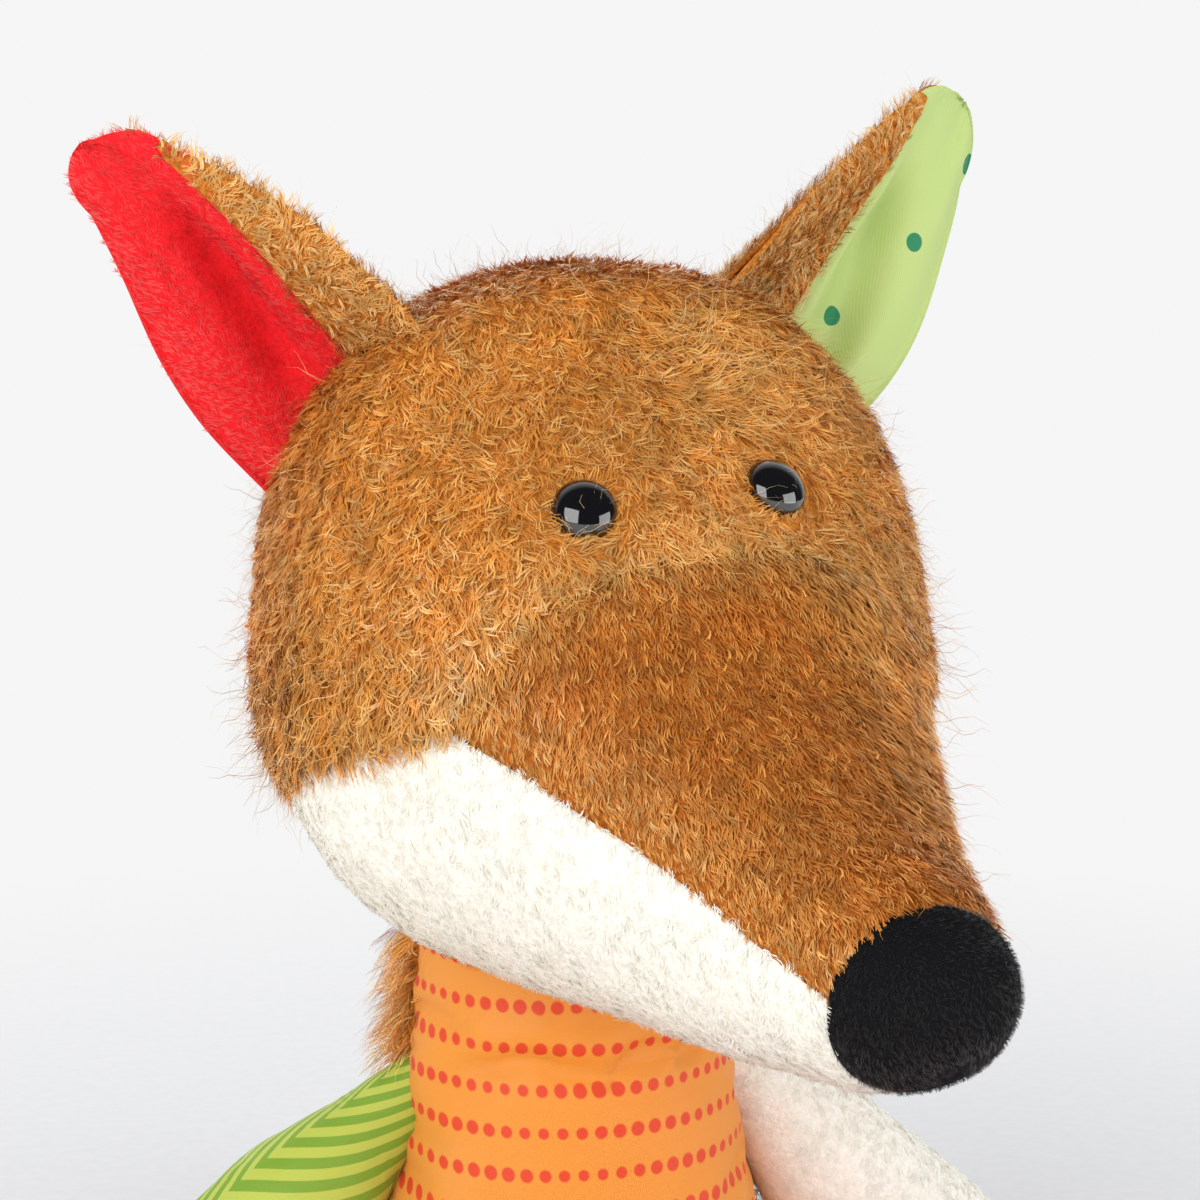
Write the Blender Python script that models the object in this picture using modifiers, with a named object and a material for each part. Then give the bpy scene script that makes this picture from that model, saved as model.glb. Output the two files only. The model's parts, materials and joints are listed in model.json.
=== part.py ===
"""A sitting plush fox: cloth panels sewn over stuffing, with floppy limbs.

It faces -Y and sits on the XY plane, with the origin at the centre of its seat.
Its left side is at +X. Lengths are in metres and angles in degrees.
"""

import math

import bmesh
import bpy
from mathutils import Matrix, Vector

# Cloth, seams and clearances
COVER_CLOTH = 0.0014
EAR_CLOTH = 0.0012
SEAM_GAP = 0.0004
FIT_GAP = 0.0003
STUFFING_GAP = 0.0005
MOTION_GAP = 0.0004
CUT_OVERRUN = 0.004
SEAM_SNAP = 0.00005
MERGE_DISTANCE = 0.00005
SEARCH_CUTS = 3

# Neck: a round plug that the head turns and nods on
NECK_PIVOT_HEIGHT = 0.098
NECK_RADIUS = 0.0235
NECK_CLEARANCE = 0.0014
NECK_RIM_REACH = 0.026
NECK_RIM_INSET = 0.003
NECK_RIM_TILT = 4
HEAD_TURN = 12

# Head, measured from the skull's centre
SKULL_ABOVE_PIVOT = 0.059
SKULL_FORWARD = 0.009
SKULL_HALF_WIDTH = 0.054
SKULL_UP = 0.061
SKULL_DOWN = 0.050
SKULL_BACK = 0.052
SNOUT_REACH = 0.1125
SNOUT_DROP = 0.045
SNOUT_TILT = 18
HEAD_SEGMENTS = 28
HEAD_RINGS = 22
CHEEK_ROUND_SHARE = 0.85

# Rows of the head from its back to the nose: reach, drop, tilt, width, up, down.
# Reach is a share of SKULL_BACK behind the skull's centre and of SNOUT_REACH in front.
HEAD_SHARES = [
    (-1.0, 0.22, 0.0, 0.0, 0.0, 0.0),
    (-0.87, 0.20, 0.0, 0.50, 0.475, 0.58),
    (-0.5, 0.22, 0.0, 0.87, 0.87, 0.92),
    (0.0, 0.27, 0.0, 1.0, 1.0, 1.0),
    (0.16, 0.36, 0.0, 0.95, 0.85, 0.92),
    (0.302, 0.56, 0.2, 0.80, 0.665, 0.74),
    (0.462, 0.75, 0.4, 0.62, 0.48, 0.565),
    (0.622, 0.89, 0.7, 0.46, 0.36, 0.44),
    (0.773, 0.97, 0.9, 0.335, 0.28, 0.34),
    (0.889, 1.0, 1.0, 0.252, 0.222, 0.27),
    (0.96, 1.0, 1.0, 0.165, 0.14, 0.17),
    (1.0, 1.0, 1.0, 0.0, 0.0, 0.0),
]

# Seams of the head: points on its side view, forward and up from the skull's centre
CHEEK_PEAK_FORWARD = 0.035
CHEEK_PEAK_RISE = -0.015
BRIDGE_SEAM_FORWARD = 0.042
BRIDGE_SEAM_RISE = 0.0095
LIP_FORWARD = 0.094
LIP_RISE = -0.041
NAPE_FORWARD = -0.024
NAPE_RISE = -0.036
NOSE_SEAM_FORWARD = 0.097
NOSE_SEAM_TILT = 7

# Eyes: domes on shanks, held by washers under the cloth
EYE_RADIUS = 0.0045
EYE_HEIGHT = 0.0040
EYE_RIM = 0.0006
SHANK_RADIUS = 0.0016
SHANK_LENGTH = 0.009
WASHER_RADIUS = 0.0055
WASHER_THICKNESS = 0.001
WASHER_DEPTH = 0.0012
WASHER_BORE_GAP = 0.00015
EYE_SEGMENTS = 20
EYE_ROWS = 6
EYE_PLACE_SHARE = 0.442
LEFT_EYE_ANGLE = 74.5
RIGHT_EYE_ANGLE = 68.5

# Ears: cupped sheets, a back and a lining
EAR_HALF_WIDTH = 0.0165
EAR_SINK = 0.009
EAR_LEAN_BACK = 0
EAR_CUP_ANGLE = 62
EAR_TIP_CUP_SHARE = 0.45
EAR_CURL_SHARE = 0.45
EAR_PLACE_SHARE = 0.209
EAR_FOLD = 9

# The ears are sewn by hand, so each has its own length, place, lean and turn
LEFT_EAR_LENGTH = 0.070
RIGHT_EAR_LENGTH = 0.0625
EAR_ANGLES = {"left": 46, "right": 45}
EAR_LEANS = {"left": 47, "right": 47}
EAR_TURNS = {"left": 6, "right": 28}

# Cloth of the ears
EAR_LINING_INSET = 0.0012
EAR_COLUMNS = 8
EAR_ROWS = 9
EAR_WIDTH_SHARES = [(1.0,), (1.0,), (0.97,), (0.88,), (0.72,), (0.52,), (0.2,)]

# Torso, from the seat up: rows of height and width
TORSO_HEIGHT = 0.112
TORSO_HALF_WIDTH = 0.038
TORSO_HALF_DEPTH = 0.036
FLOOR_CUT = 0.0005
SEAT_SEAM_HEIGHT = 0.008
TORSO_SEGMENTS = 24
TORSO_RINGS = 16
TORSO_SHARES = [
    (0.0, 0.0),
    (0.0, 0.5),
    (0.006, 0.7),
    (0.045, 0.90),
    (0.13, 0.997),
    (0.24, 1.0),
    (0.385, 0.90),
    (0.54, 0.78),
    (0.70, 0.71),
    (0.84, 0.675),
    (0.93, 0.65),
    (0.98, 0.45),
    (1.0, 0.0),
]

# Pellet pouch, the weight in the seat
POUCH_RADIUS = 0.022
POUCH_HEIGHT = 0.016
POUCH_SEGMENTS = 16
POUCH_ROWS = 6

# Arms, hanging from the side seams
SHOULDER_HEIGHT = 0.069
ROOT_REACH = 0.016
ROOT_NEAR = 0.0205
ARM_LENGTH = 0.078
ARM_HALF_WIDTH = 0.0135
ARM_HALF_DEPTH = 0.0115
ARM_SPREAD = 46
ARM_BACK_SWING = -30
ARM_LIFT = 90
ARM_SHARES = [
    (-0.13, 0.0),
    (-0.1, 0.5),
    (-0.02, 0.8),
    (0.14, 0.87),
    (0.36, 0.94),
    (0.60, 1.0),
    (0.80, 0.93),
    (0.93, 0.66),
    (1.0, 0.0),
]

# Legs, lying forward on the floor
HIP_SPREAD = 0.020
HIP_STAND_OFF = 0.005
HIP_HEIGHT = 0.0145
LEG_LENGTH = 0.105
LEG_HALF_WIDTH = 0.0145
FOOT_RISE = 0.023
LEG_SPLAY = 19
LEG_DROP = -30
LEG_LIFT = 45
LEG_SHARES = [
    (-0.138, 0.0, 0.0, 0.0),
    (-0.12, 0.5, 0.31, 0.5),
    (-0.07, 0.87, 0.54, 0.87),
    (0.03, 1.0, 0.63, 1.0),
    (0.30, 0.97, 0.61, 1.0),
    (0.58, 1.0, 0.65, 1.0),
    (0.78, 1.06, 0.85, 1.0),
    (0.90, 1.06, 1.0, 1.0),
    (0.975, 0.72, 0.72, 0.72),
    (1.0, 0.0, 0.0, 0.0),
]

# Tail, lying behind on the floor
TAIL_STAND_OFF = 0.003
TAIL_HEIGHT = 0.0165
TAIL_LENGTH = 0.100
TAIL_RADIUS = 0.017
TAIL_BEND = 0.014
TAIL_TIP_SEAM_SHARE = 0.66
TAIL_SWING = 45
TAIL_SHARES = [
    (-0.1, 0.0),
    (-0.08, 0.3),
    (-0.02, 0.46),
    (0.12, 0.58),
    (0.32, 0.84),
    (0.52, 1.0),
    (0.72, 0.88),
    (0.9, 0.48),
    (0.98, 0.2),
    (1.0, 0.0),
]

LIMB_SEGMENTS = 12
LIMB_RINGS = 11
TAIL_RINGS = 12
CUT_STEP = 15

SIDES = {"left": 1, "right": -1}


def read_shares(table, place, positions):
    """Read a table of shares at a place from 0 to 1, on a smooth curve through its rows.

    The first columns are positions. The others are sizes, which pass through zero at a
    pole, so they change sign in the row imagined beyond either end.
    """
    last = len(table) - 1
    row = min(int(place * last), last - 1)
    part = place * last - row
    signs = [1] * positions + [-1] * (len(table[0]) - positions)
    before = table[row - 1] if row > 0 else [s * v for s, v in zip(signs, table[1])]
    after = table[row + 2] if row + 2 <= last else [s * v for s, v in zip(signs, table[-2])]
    return [
        smooth_between(values, part)
        for values in zip(before, table[row], table[row + 1], after)
    ]


def smooth_between(values, part):
    """Catmull-Rom curve between the two middle ones of four values."""
    a, b, c, d = values
    slope = (c - a) * part
    bend = (2 * a - 5 * b + 4 * c - d) * part**2
    twist = (3 * b - a - 3 * c + d) * part**3
    return b + (slope + bend + twist) / 2


def signed_power(value, power):
    """Power of a number that keeps its sign."""
    return math.copysign(abs(value) ** power, value)


def head_point(place, angle):
    """Point of the head's surface, from the neck's pivot; the angle runs up from the left side."""
    reach, drop, tilt, width, up, down = read_shares(HEAD_SHARES, place, 3)
    forward = reach * (SNOUT_REACH if reach > 0 else SKULL_BACK)
    power = 1 - (1 - CHEEK_ROUND_SHARE) * width
    side = signed_power(math.cos(angle), power)
    rise = signed_power(math.sin(angle), power)
    rise *= SKULL_UP * up if rise > 0 else SKULL_DOWN * down
    lean = math.radians(SNOUT_TILT) * tilt
    return Vector((
        SKULL_HALF_WIDTH * width * side,
        -SKULL_FORWARD - forward - rise * math.sin(lean),
        SKULL_ABOVE_PIVOT - SNOUT_DROP * drop + rise * math.cos(lean),
    ))


def torso_point(place, angle):
    """Point of the torso's surface, cut flat on the floor."""
    height, width = read_shares(TORSO_SHARES, place, 1)
    return Vector((
        TORSO_HALF_WIDTH * width * math.cos(angle),
        TORSO_HALF_DEPTH * width * math.sin(angle),
        max(TORSO_HEIGHT * height - FLOOR_CUT, 0),
    ))


def torso_half_width(height):
    """Half width of the torso at a height, found by halving the steps along its rows."""
    low, high = 0.25, 1
    while high - low > MERGE_DISTANCE:
        middle = (low + high) / 2
        if torso_point(middle, 0).z < height:
            low = middle
        else:
            high = middle
    return torso_point(low, 0).x


def arm_point(place, angle):
    """Point of the left arm's surface, from its shoulder."""
    along, size = read_shares(ARM_SHARES, place, 1)
    spread = math.radians(ARM_SPREAD)
    across = ARM_HALF_WIDTH * size * math.cos(angle)
    reach = ARM_LENGTH * along
    return Vector((
        reach * math.sin(spread) + across * math.cos(spread),
        ARM_HALF_DEPTH * size * math.sin(angle),
        across * math.sin(spread) - reach * math.cos(spread),
    ))


def leg_point(place, angle):
    """Point of a leg's surface, from its hip, cut flat on the floor."""
    along, width, up, down = read_shares(LEG_SHARES, place, 1)
    rise = math.sin(angle) * (FOOT_RISE * up if math.sin(angle) > 0 else HIP_HEIGHT * down)
    depth = HIP_HEIGHT + FLOOR_CUT
    if rise < 0:
        rise = rise * depth / HIP_HEIGHT
    return Vector((
        LEG_HALF_WIDTH * width * math.cos(angle),
        -LEG_LENGTH * along,
        max(rise, -HIP_HEIGHT),
    ))


def tail_point(place, angle):
    """Point of the tail's surface, from its root, cut flat on the floor."""
    along, size = read_shares(TAIL_SHARES, place, 1)
    return Vector((
        TAIL_BEND * max(along, 0) ** 2 + TAIL_RADIUS * size * math.cos(angle),
        TAIL_LENGTH * along,
        max(TAIL_RADIUS * size * math.sin(angle), -TAIL_HEIGHT),
    ))


def neck_point(place, angle):
    """Point of the neck plug's round surface."""
    turn = math.pi * place
    return NECK_RADIUS * Vector((
        math.sin(turn) * math.cos(angle),
        math.sin(turn) * math.sin(angle),
        math.cos(turn),
    ))


def surface_normal(point_at, place, angle):
    """Outward normal of a form, from its slopes in both directions."""
    step = math.radians(1)
    along = point_at(place + step / math.pi, angle) - point_at(place - step / math.pi, angle)
    around = point_at(place, angle + step) - point_at(place, angle - step)
    return around.cross(along).normalized()


def closed_form(point_at, segments, rings, grown=0):
    """A sphere whose rings are moved onto a form, grown or shrunk along its normals."""
    form = bmesh.new()
    bmesh.ops.create_uvsphere(form, u_segments=segments, v_segments=rings, radius=1)
    half_segment = math.pi / segments
    for vertex in form.verts:
        place = math.acos(max(-1, min(1, vertex.co.z))) / math.pi
        angle = math.atan2(vertex.co.y, vertex.co.x) + half_segment
        vertex.co = point_at(place, angle)
    form.normal_update()
    bmesh.ops.recalc_face_normals(form, faces=form.faces)
    form.normal_update()
    for vertex, normal in [(vertex, vertex.normal.copy()) for vertex in form.verts]:
        vertex.co += normal * grown
    return form


def keep_side(form, seam, toward, gap=SEAM_GAP / 2):
    """Cut a form at a seam's plane and keep the side that its normal times toward points to."""
    point, normal = seam
    facing = normal * toward
    bmesh.ops.bisect_plane(
        form,
        geom=form.verts[:] + form.edges[:] + form.faces[:],
        dist=SEAM_SNAP,
        plane_co=point + facing * gap,
        plane_no=facing,
        clear_inner=True,
    )


def close_openings(form):
    """Fill the flat openings that a cut left."""
    edges = [edge for edge in form.edges if edge.is_boundary]
    bmesh.ops.holes_fill(form, edges=edges, sides=0)
    bmesh.ops.recalc_face_normals(form, faces=form.faces)


def side_seam(first, second):
    """Seam across the head through two points of its side view, each forward and up."""
    base = Vector((0, -SKULL_FORWARD - first[0], SKULL_ABOVE_PIVOT + first[1]))
    run = Vector((0, first[0] - second[0], second[1] - first[1]))
    return base, Vector((1, 0, 0)).cross(run).normalized()


def head_seams():
    """The planes at which the head's panels meet; normals point up or forward."""
    peak = (CHEEK_PEAK_FORWARD, CHEEK_PEAK_RISE)
    tilt = math.radians(NOSE_SEAM_TILT)
    return {
        "middle": (Vector((0, 0, 0)), Vector((1, 0, 0))),
        "brow": side_seam(peak, (BRIDGE_SEAM_FORWARD, BRIDGE_SEAM_RISE)),
        "lip": side_seam((LIP_FORWARD, LIP_RISE), peak),
        "nape": side_seam(peak, (NAPE_FORWARD, NAPE_RISE)),
        "nose": (
            Vector((0, -SKULL_FORWARD - NOSE_SEAM_FORWARD, SKULL_ABOVE_PIVOT - SNOUT_DROP)),
            Vector((0, -math.cos(tilt), -math.sin(tilt))),
        ),
    }


def neck_rim_height():
    """Height of the torso's upper rim, under the lowest part of the head that turns over it."""
    head = closed_form(head_point, HEAD_SEGMENTS, HEAD_RINGS)
    bmesh.ops.subdivide_edges(head, edges=head.edges[:], cuts=SEARCH_CUTS)
    lowest = min(vertex.co.z for vertex in head.verts
                 if math.hypot(vertex.co.x, vertex.co.y) < NECK_RIM_REACH)
    head.free()
    return NECK_PIVOT_HEIGHT + lowest - NECK_CLEARANCE


def make_material(name, colour, roughness):
    """A cloth or plastic finish."""
    material = bpy.data.materials.new(name)
    material.use_nodes = True
    shader = material.node_tree.nodes["Principled BSDF"]
    shader.inputs["Base Color"].default_value = (*colour, 1)
    shader.inputs["Roughness"].default_value = roughness
    shader.inputs["Metallic"].default_value = 0
    return material


def make_collection(name):
    """A collection in the scene."""
    collection = bpy.data.collections.new(name)
    bpy.context.scene.collection.children.link(collection)
    return collection


def make_joint(name, place, parent=None):
    """An empty on a joint's axis, placed by a matrix under its parent."""
    joint = bpy.data.objects.new(name, None)
    joint.parent = parent
    joint.matrix_local = place
    bpy.context.scene.collection.objects.link(joint)
    return joint


def add_object(name, form, material, joint, collection):
    """Turn a form into a named object under a joint."""
    mesh = bpy.data.meshes.new(name)
    form.to_mesh(mesh)
    form.free()
    mesh.shade_smooth()
    mesh.materials.append(material)
    item = bpy.data.objects.new(name, mesh)
    item.parent = joint
    collection.objects.link(item)
    return item


def thicken(item, thickness, side=-1):
    """Give an open cloth its thickness, inwards unless side is 1."""
    wall = item.modifiers.new("Cloth", "SOLIDIFY")
    wall.thickness = thickness
    wall.offset = side


def cut_away(item, cutters):
    """Subtract each cutter."""
    for cutter in cutters:
        cut = item.modifiers.new("Cut", "BOOLEAN")
        cut.operation = "DIFFERENCE"
        cut.object = cutter


def turned(name, profile, segments, material, joint, collection):
    """A solid turned about its own Z axis from a profile of radius and height, top first."""
    mesh = bpy.data.meshes.new(name)
    points = [(radius, 0, height) for radius, height in profile]
    edges = [(index, index + 1) for index in range(len(points) - 1)]
    if profile[0][0] > 0:
        edges.append((len(points) - 1, 0))
    mesh.from_pydata(points, edges, [])
    mesh.materials.append(material)
    item = bpy.data.objects.new(name, mesh)
    item.parent = joint
    collection.objects.link(item)
    screw = item.modifiers.new("Turn", "SCREW")
    screw.steps = segments
    screw.render_steps = segments
    screw.use_merge_vertices = True
    screw.merge_threshold = MERGE_DISTANCE
    return item


class Workshop:
    """The collections, materials and joints that every piece needs."""

    def __init__(self):
        self.toy = make_collection("plush_fox")
        self.cutters = make_collection("cutters")
        self.finishes = {
            "brown_plush": make_material("brown_plush", (0.50, 0.23, 0.06), 0.9),
            "muzzle_plush": make_material("muzzle_plush", (0.42, 0.18, 0.045), 0.9),
            "cream_sherpa": make_material("cream_sherpa", (0.88, 0.83, 0.70), 1.0),
            "black_velvet": make_material("black_velvet", (0.02, 0.018, 0.02), 0.95),
            "eye_plastic": make_material("eye_plastic", (0.01, 0.01, 0.012), 0.08),
            "washer_plastic": make_material("washer_plastic", (0.8, 0.8, 0.78), 0.4),
            "red_plush": make_material("red_plush", (0.85, 0.03, 0.03), 0.85),
            "green_satin": make_material("green_satin", (0.58, 0.75, 0.22), 0.45),
            "striped_satin": make_material("striped_satin", (0.35, 0.56, 0.08), 0.45),
            "orange_satin": make_material("orange_satin", (0.95, 0.36, 0.05), 0.45),
            "stuffing": make_material("stuffing", (0.85, 0.85, 0.83), 1.0),
            "pellet_cloth": make_material("pellet_cloth", (0.75, 0.72, 0.66), 0.95),
        }
        turn = Matrix.Rotation(math.radians(HEAD_TURN), 4, "Z")
        lift = Matrix.Translation((0, 0, NECK_PIVOT_HEIGHT))
        self.neck = make_joint("neck_joint", lift @ turn)
        self.torso = make_joint("torso_joint", Matrix.Identity(4))

    def add(self, name, form, finish, joint):
        """Add a piece of the toy."""
        return add_object(name, form, self.finishes[finish], joint, self.toy)

    def add_cutter(self, name, form, joint):
        """Add a form that only cuts others."""
        cutter = add_object(name, form, self.finishes["stuffing"], joint, self.cutters)
        return self.hide(cutter)

    def hide(self, cutter):
        """Mark an object as a cutter."""
        cutter.hide_render = True
        cutter.display_type = "WIRE"
        return cutter

    def clearance_cutters(self, name, form_maker, seen_from, joint, axis, angles):
        """Copies of a larger form, as a moving piece meets it at each angle of its joint."""
        cutters = []
        for number, angle in enumerate(angles):
            form = form_maker()
            turn_back = Matrix.Rotation(math.radians(-angle), 4, axis)
            form.transform(turn_back @ seen_from)
            cutters.append(self.add_cutter(f"{name}_clearance_{number}", form, joint))
        return cutters


def angle_steps(low, high):
    """Angles from low to high at even steps, with zero among them."""
    below = math.ceil(-low / CUT_STEP)
    above = math.ceil(high / CUT_STEP)
    return ([low * step / below for step in range(below, 0, -1)]
            + [high * step / above for step in range(above + 1)])


def make_head(shop):
    """The head's panels, its stuffing, and the hollow for the neck."""
    seams = head_seams()
    panels = {
        "crown_cover_left": ("brown_plush", [("brow", -1), ("nape", 1), ("middle", 1)]),
        "crown_cover_right": ("brown_plush", [("brow", -1), ("nape", 1), ("middle", -1)]),
        "muzzle_cover_left": (
            "muzzle_plush",
            [("brow", 1), ("lip", 1), ("nose", -1), ("middle", 1)],
        ),
        "muzzle_cover_right": (
            "muzzle_plush",
            [("brow", 1), ("lip", 1), ("nose", -1), ("middle", -1)],
        ),
        "chin_cover": ("cream_sherpa", [("lip", -1), ("nape", -1), ("nose", -1)]),
        "nose_cover": ("black_velvet", [("nose", 1)]),
    }
    neck_hollow = shop.add_cutter(
        "neck_hollow", closed_form(neck_point, TORSO_SEGMENTS, TORSO_RINGS, FIT_GAP), shop.neck
    )
    covers = {}
    for name, (finish, cuts) in panels.items():
        form = closed_form(head_point, HEAD_SEGMENTS, HEAD_RINGS)
        for seam, toward in cuts:
            keep_side(form, seams[seam], toward)
        covers[name] = shop.add(name, form, finish, shop.neck)
        thicken(covers[name], COVER_CLOTH)
    cut_away(covers["chin_cover"], [neck_hollow])
    shrink = -(COVER_CLOTH + STUFFING_GAP)
    core = closed_form(head_point, HEAD_SEGMENTS, HEAD_RINGS, shrink)
    stuffing = shop.add("head_stuffing", core, "stuffing", shop.neck)
    cut_away(stuffing, [neck_hollow])
    return covers, stuffing


def make_neck(shop):
    """The round plug of stuffing that the head sits on."""
    shop.add("neck_stuffing", closed_form(neck_point, TORSO_SEGMENTS, TORSO_RINGS), "stuffing",
             shop.neck)


def dome_profile():
    """Profile of an eye: a dome, its rim and its shank."""
    dome = []
    for row in range(EYE_ROWS + 1):
        turn = math.pi / 2 * row / EYE_ROWS
        height = FIT_GAP + EYE_RIM + (EYE_HEIGHT - EYE_RIM) * math.cos(turn)
        dome.append((EYE_RADIUS * math.sin(turn), height))
    return dome + [
        (EYE_RADIUS, FIT_GAP),
        (SHANK_RADIUS, FIT_GAP),
        (SHANK_RADIUS, -SHANK_LENGTH),
        (0, -SHANK_LENGTH),
    ]


def make_eye(shop, side, cover, stuffing):
    """An eye with its washer, through the cloth and into the stuffing."""
    angle = math.radians(LEFT_EYE_ANGLE if side == "left" else 180 - RIGHT_EYE_ANGLE)
    normal = surface_normal(head_point, EYE_PLACE_SHARE, angle)
    turn = normal.to_track_quat("Z", "Y").to_matrix().to_4x4()
    place = Matrix.Translation(head_point(EYE_PLACE_SHARE, angle)) @ turn
    seat = make_joint(f"eye_seat_{side}", place, shop.neck)
    turned(f"eye_{side}", dome_profile(), EYE_SEGMENTS, shop.finishes["eye_plastic"], seat,
           shop.toy)
    top = -(COVER_CLOTH + WASHER_DEPTH)
    bottom = top - WASHER_THICKNESS
    bore = SHANK_RADIUS + WASHER_BORE_GAP
    ring = [(bore, top), (WASHER_RADIUS, top), (WASHER_RADIUS, bottom), (bore, bottom)]
    turned(f"eye_washer_{side}", ring, EYE_SEGMENTS, shop.finishes["washer_plastic"], seat,
           shop.toy)
    hole = rod_profile(SHANK_RADIUS + FIT_GAP, CUT_OVERRUN, -SHANK_LENGTH)
    room = rod_profile(WASHER_RADIUS + FIT_GAP, CUT_OVERRUN, -SHANK_LENGTH - FIT_GAP)
    for item, name, profile in ((cover, "eye_hole", hole), (stuffing, "eye_room", room)):
        cutter = turned(f"{name}_{side}", profile, EYE_SEGMENTS, shop.finishes["stuffing"],
                        seat, shop.cutters)
        cut_away(item, [shop.hide(cutter)])


def rod_profile(radius, top, bottom):
    """Profile of a plain rod."""
    return [(0, top), (radius, top), (radius, bottom), (0, bottom)]


def ear_sheet(side, inset, forward):
    """An open cupped sheet, pointed and round at its tip, whose front faces -Y.

    Its edge nearer the head's middle curls further forward.
    """
    form = bmesh.new()
    inner_side = -SIDES[side]
    length = LEFT_EAR_LENGTH if side == "left" else RIGHT_EAR_LENGTH
    bmesh.ops.create_grid(form, x_segments=EAR_COLUMNS, y_segments=EAR_ROWS, size=1)
    for vertex in form.verts:
        across = vertex.co.x
        up = (vertex.co.y + 1) / 2
        width_share, = read_shares(EAR_WIDTH_SHARES, up, 1)
        half_width = EAR_HALF_WIDTH * width_share - inset
        half_cup = math.radians(EAR_CUP_ANGLE) * (1 - (1 - EAR_TIP_CUP_SHARE) * up)
        turn = half_cup * across
        if across * inner_side > 0:
            turn *= 1 + EAR_CURL_SHARE * abs(across)
        radius = half_width / math.sin(half_cup)
        vertex.co = Vector((
            radius * math.sin(turn),
            -radius * (1 - math.cos(turn)),
            (length - inset) * up,
        ))
    form.normal_update()
    for vertex, normal in [(vertex, vertex.normal.copy()) for vertex in form.verts]:
        vertex.co += normal * forward
    return form


def make_ear(shop, side, lining_finish):
    """An ear: its back and its lining, seated on the head and free to fold a little."""
    sign = SIDES[side]
    angle = math.radians(EAR_ANGLES[side])
    if side == "right":
        angle = math.pi - angle
    lean_back = Matrix.Rotation(math.radians(-EAR_LEAN_BACK), 4, "X")
    lean_out = Matrix.Rotation(math.radians(EAR_LEANS[side] * sign), 4, "Y")
    turn_out = Matrix.Rotation(math.radians(EAR_TURNS[side] * sign), 4, "Z")
    turn = lean_back @ lean_out @ turn_out
    sink = turn @ Vector((0, 0, -EAR_SINK))
    seat = Matrix.Translation(head_point(EAR_PLACE_SHARE, angle) + sink) @ turn
    joint = make_joint(f"ear_{side}_joint", seat, shop.neck)
    cutters = shop.clearance_cutters(
        f"ear_{side}",
        lambda: closed_form(head_point, HEAD_SEGMENTS, HEAD_RINGS, MOTION_GAP),
        seat.inverted(), joint, "X", (-EAR_FOLD, 0, EAR_FOLD),
    )
    back = shop.add(f"ear_{side}_fur", ear_sheet(side, 0, 0), "brown_plush", joint)
    thicken(back, EAR_CLOTH)
    front = ear_sheet(side, EAR_LINING_INSET, FIT_GAP)
    lining = shop.add(f"ear_{side}_lining", front, lining_finish, joint)
    thicken(lining, EAR_CLOTH, 1)
    cut_away(back, cutters)
    cut_away(lining, cutters)


def make_torso(shop):
    """The torso's panels and its stuffing, with hollows for the neck and the pouch."""
    rim = Vector((0, -NECK_RIM_REACH, neck_rim_height()))
    rim_up = Matrix.Rotation(math.radians(NECK_RIM_TILT), 3, "X") @ Vector((0, 0, 1))
    up = Vector((0, 0, 1))
    seat_seam = (Vector((0, 0, SEAT_SEAM_HEIGHT)), up)
    side_seams = (Vector((0, 0, 0)), Vector((0, 1, 0)))
    neck = closed_form(neck_point, TORSO_SEGMENTS, TORSO_RINGS, FIT_GAP)
    neck.transform(Matrix.Translation((0, 0, NECK_PIVOT_HEIGHT)))
    neck_hollow = shop.add_cutter("torso_neck_hollow", neck, shop.torso)
    panels = {
        "belly_cover": ("orange_satin", -1),
        "back_cover": ("brown_plush", 1),
    }
    for name, (finish, toward) in panels.items():
        form = closed_form(torso_point, TORSO_SEGMENTS, TORSO_RINGS)
        keep_side(form, (rim, rim_up), -1, 0)
        keep_side(form, seat_seam, 1)
        keep_side(form, side_seams, toward)
        cover = shop.add(name, form, finish, shop.torso)
        thicken(cover, COVER_CLOTH)
        cut_away(cover, [neck_hollow])
    seat = closed_form(torso_point, TORSO_SEGMENTS, TORSO_RINGS)
    keep_side(seat, seat_seam, -1)
    thicken(shop.add("seat_cover", seat, "brown_plush", shop.torso), COVER_CLOTH)
    shrink = -(COVER_CLOTH + STUFFING_GAP)
    core = closed_form(torso_point, TORSO_SEGMENTS, TORSO_RINGS, shrink)
    keep_side(core, (rim, rim_up), -1, NECK_RIM_INSET)
    close_openings(core)
    stuffing = shop.add("body_stuffing", core, "stuffing", shop.torso)
    cut_away(stuffing, [neck_hollow, make_pouch(shop)])


def make_pouch(shop):
    """The pellet pouch on the seat cover; returns the cutter that leaves room for it."""
    base = COVER_CLOTH + FIT_GAP
    sizes = {
        "pellet_pouch": (0, shop.toy),
        "pouch_room": (FIT_GAP, shop.cutters),
    }
    for name, (grown, collection) in sizes.items():
        profile = []
        for row in range(POUCH_ROWS + 1):
            turn = math.pi / 2 * row / POUCH_ROWS
            height = base + (POUCH_HEIGHT + grown) * math.cos(turn)
            profile.append(((POUCH_RADIUS + grown) * math.sin(turn), height))
        bottom = base if name == "pellet_pouch" else 0
        if bottom < base:
            profile.append((POUCH_RADIUS + grown, bottom))
        profile.append((0, bottom))
        item = turned(name, profile, POUCH_SEGMENTS, shop.finishes["pellet_cloth"], shop.torso,
                      collection)
    return shop.hide(item)


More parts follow.
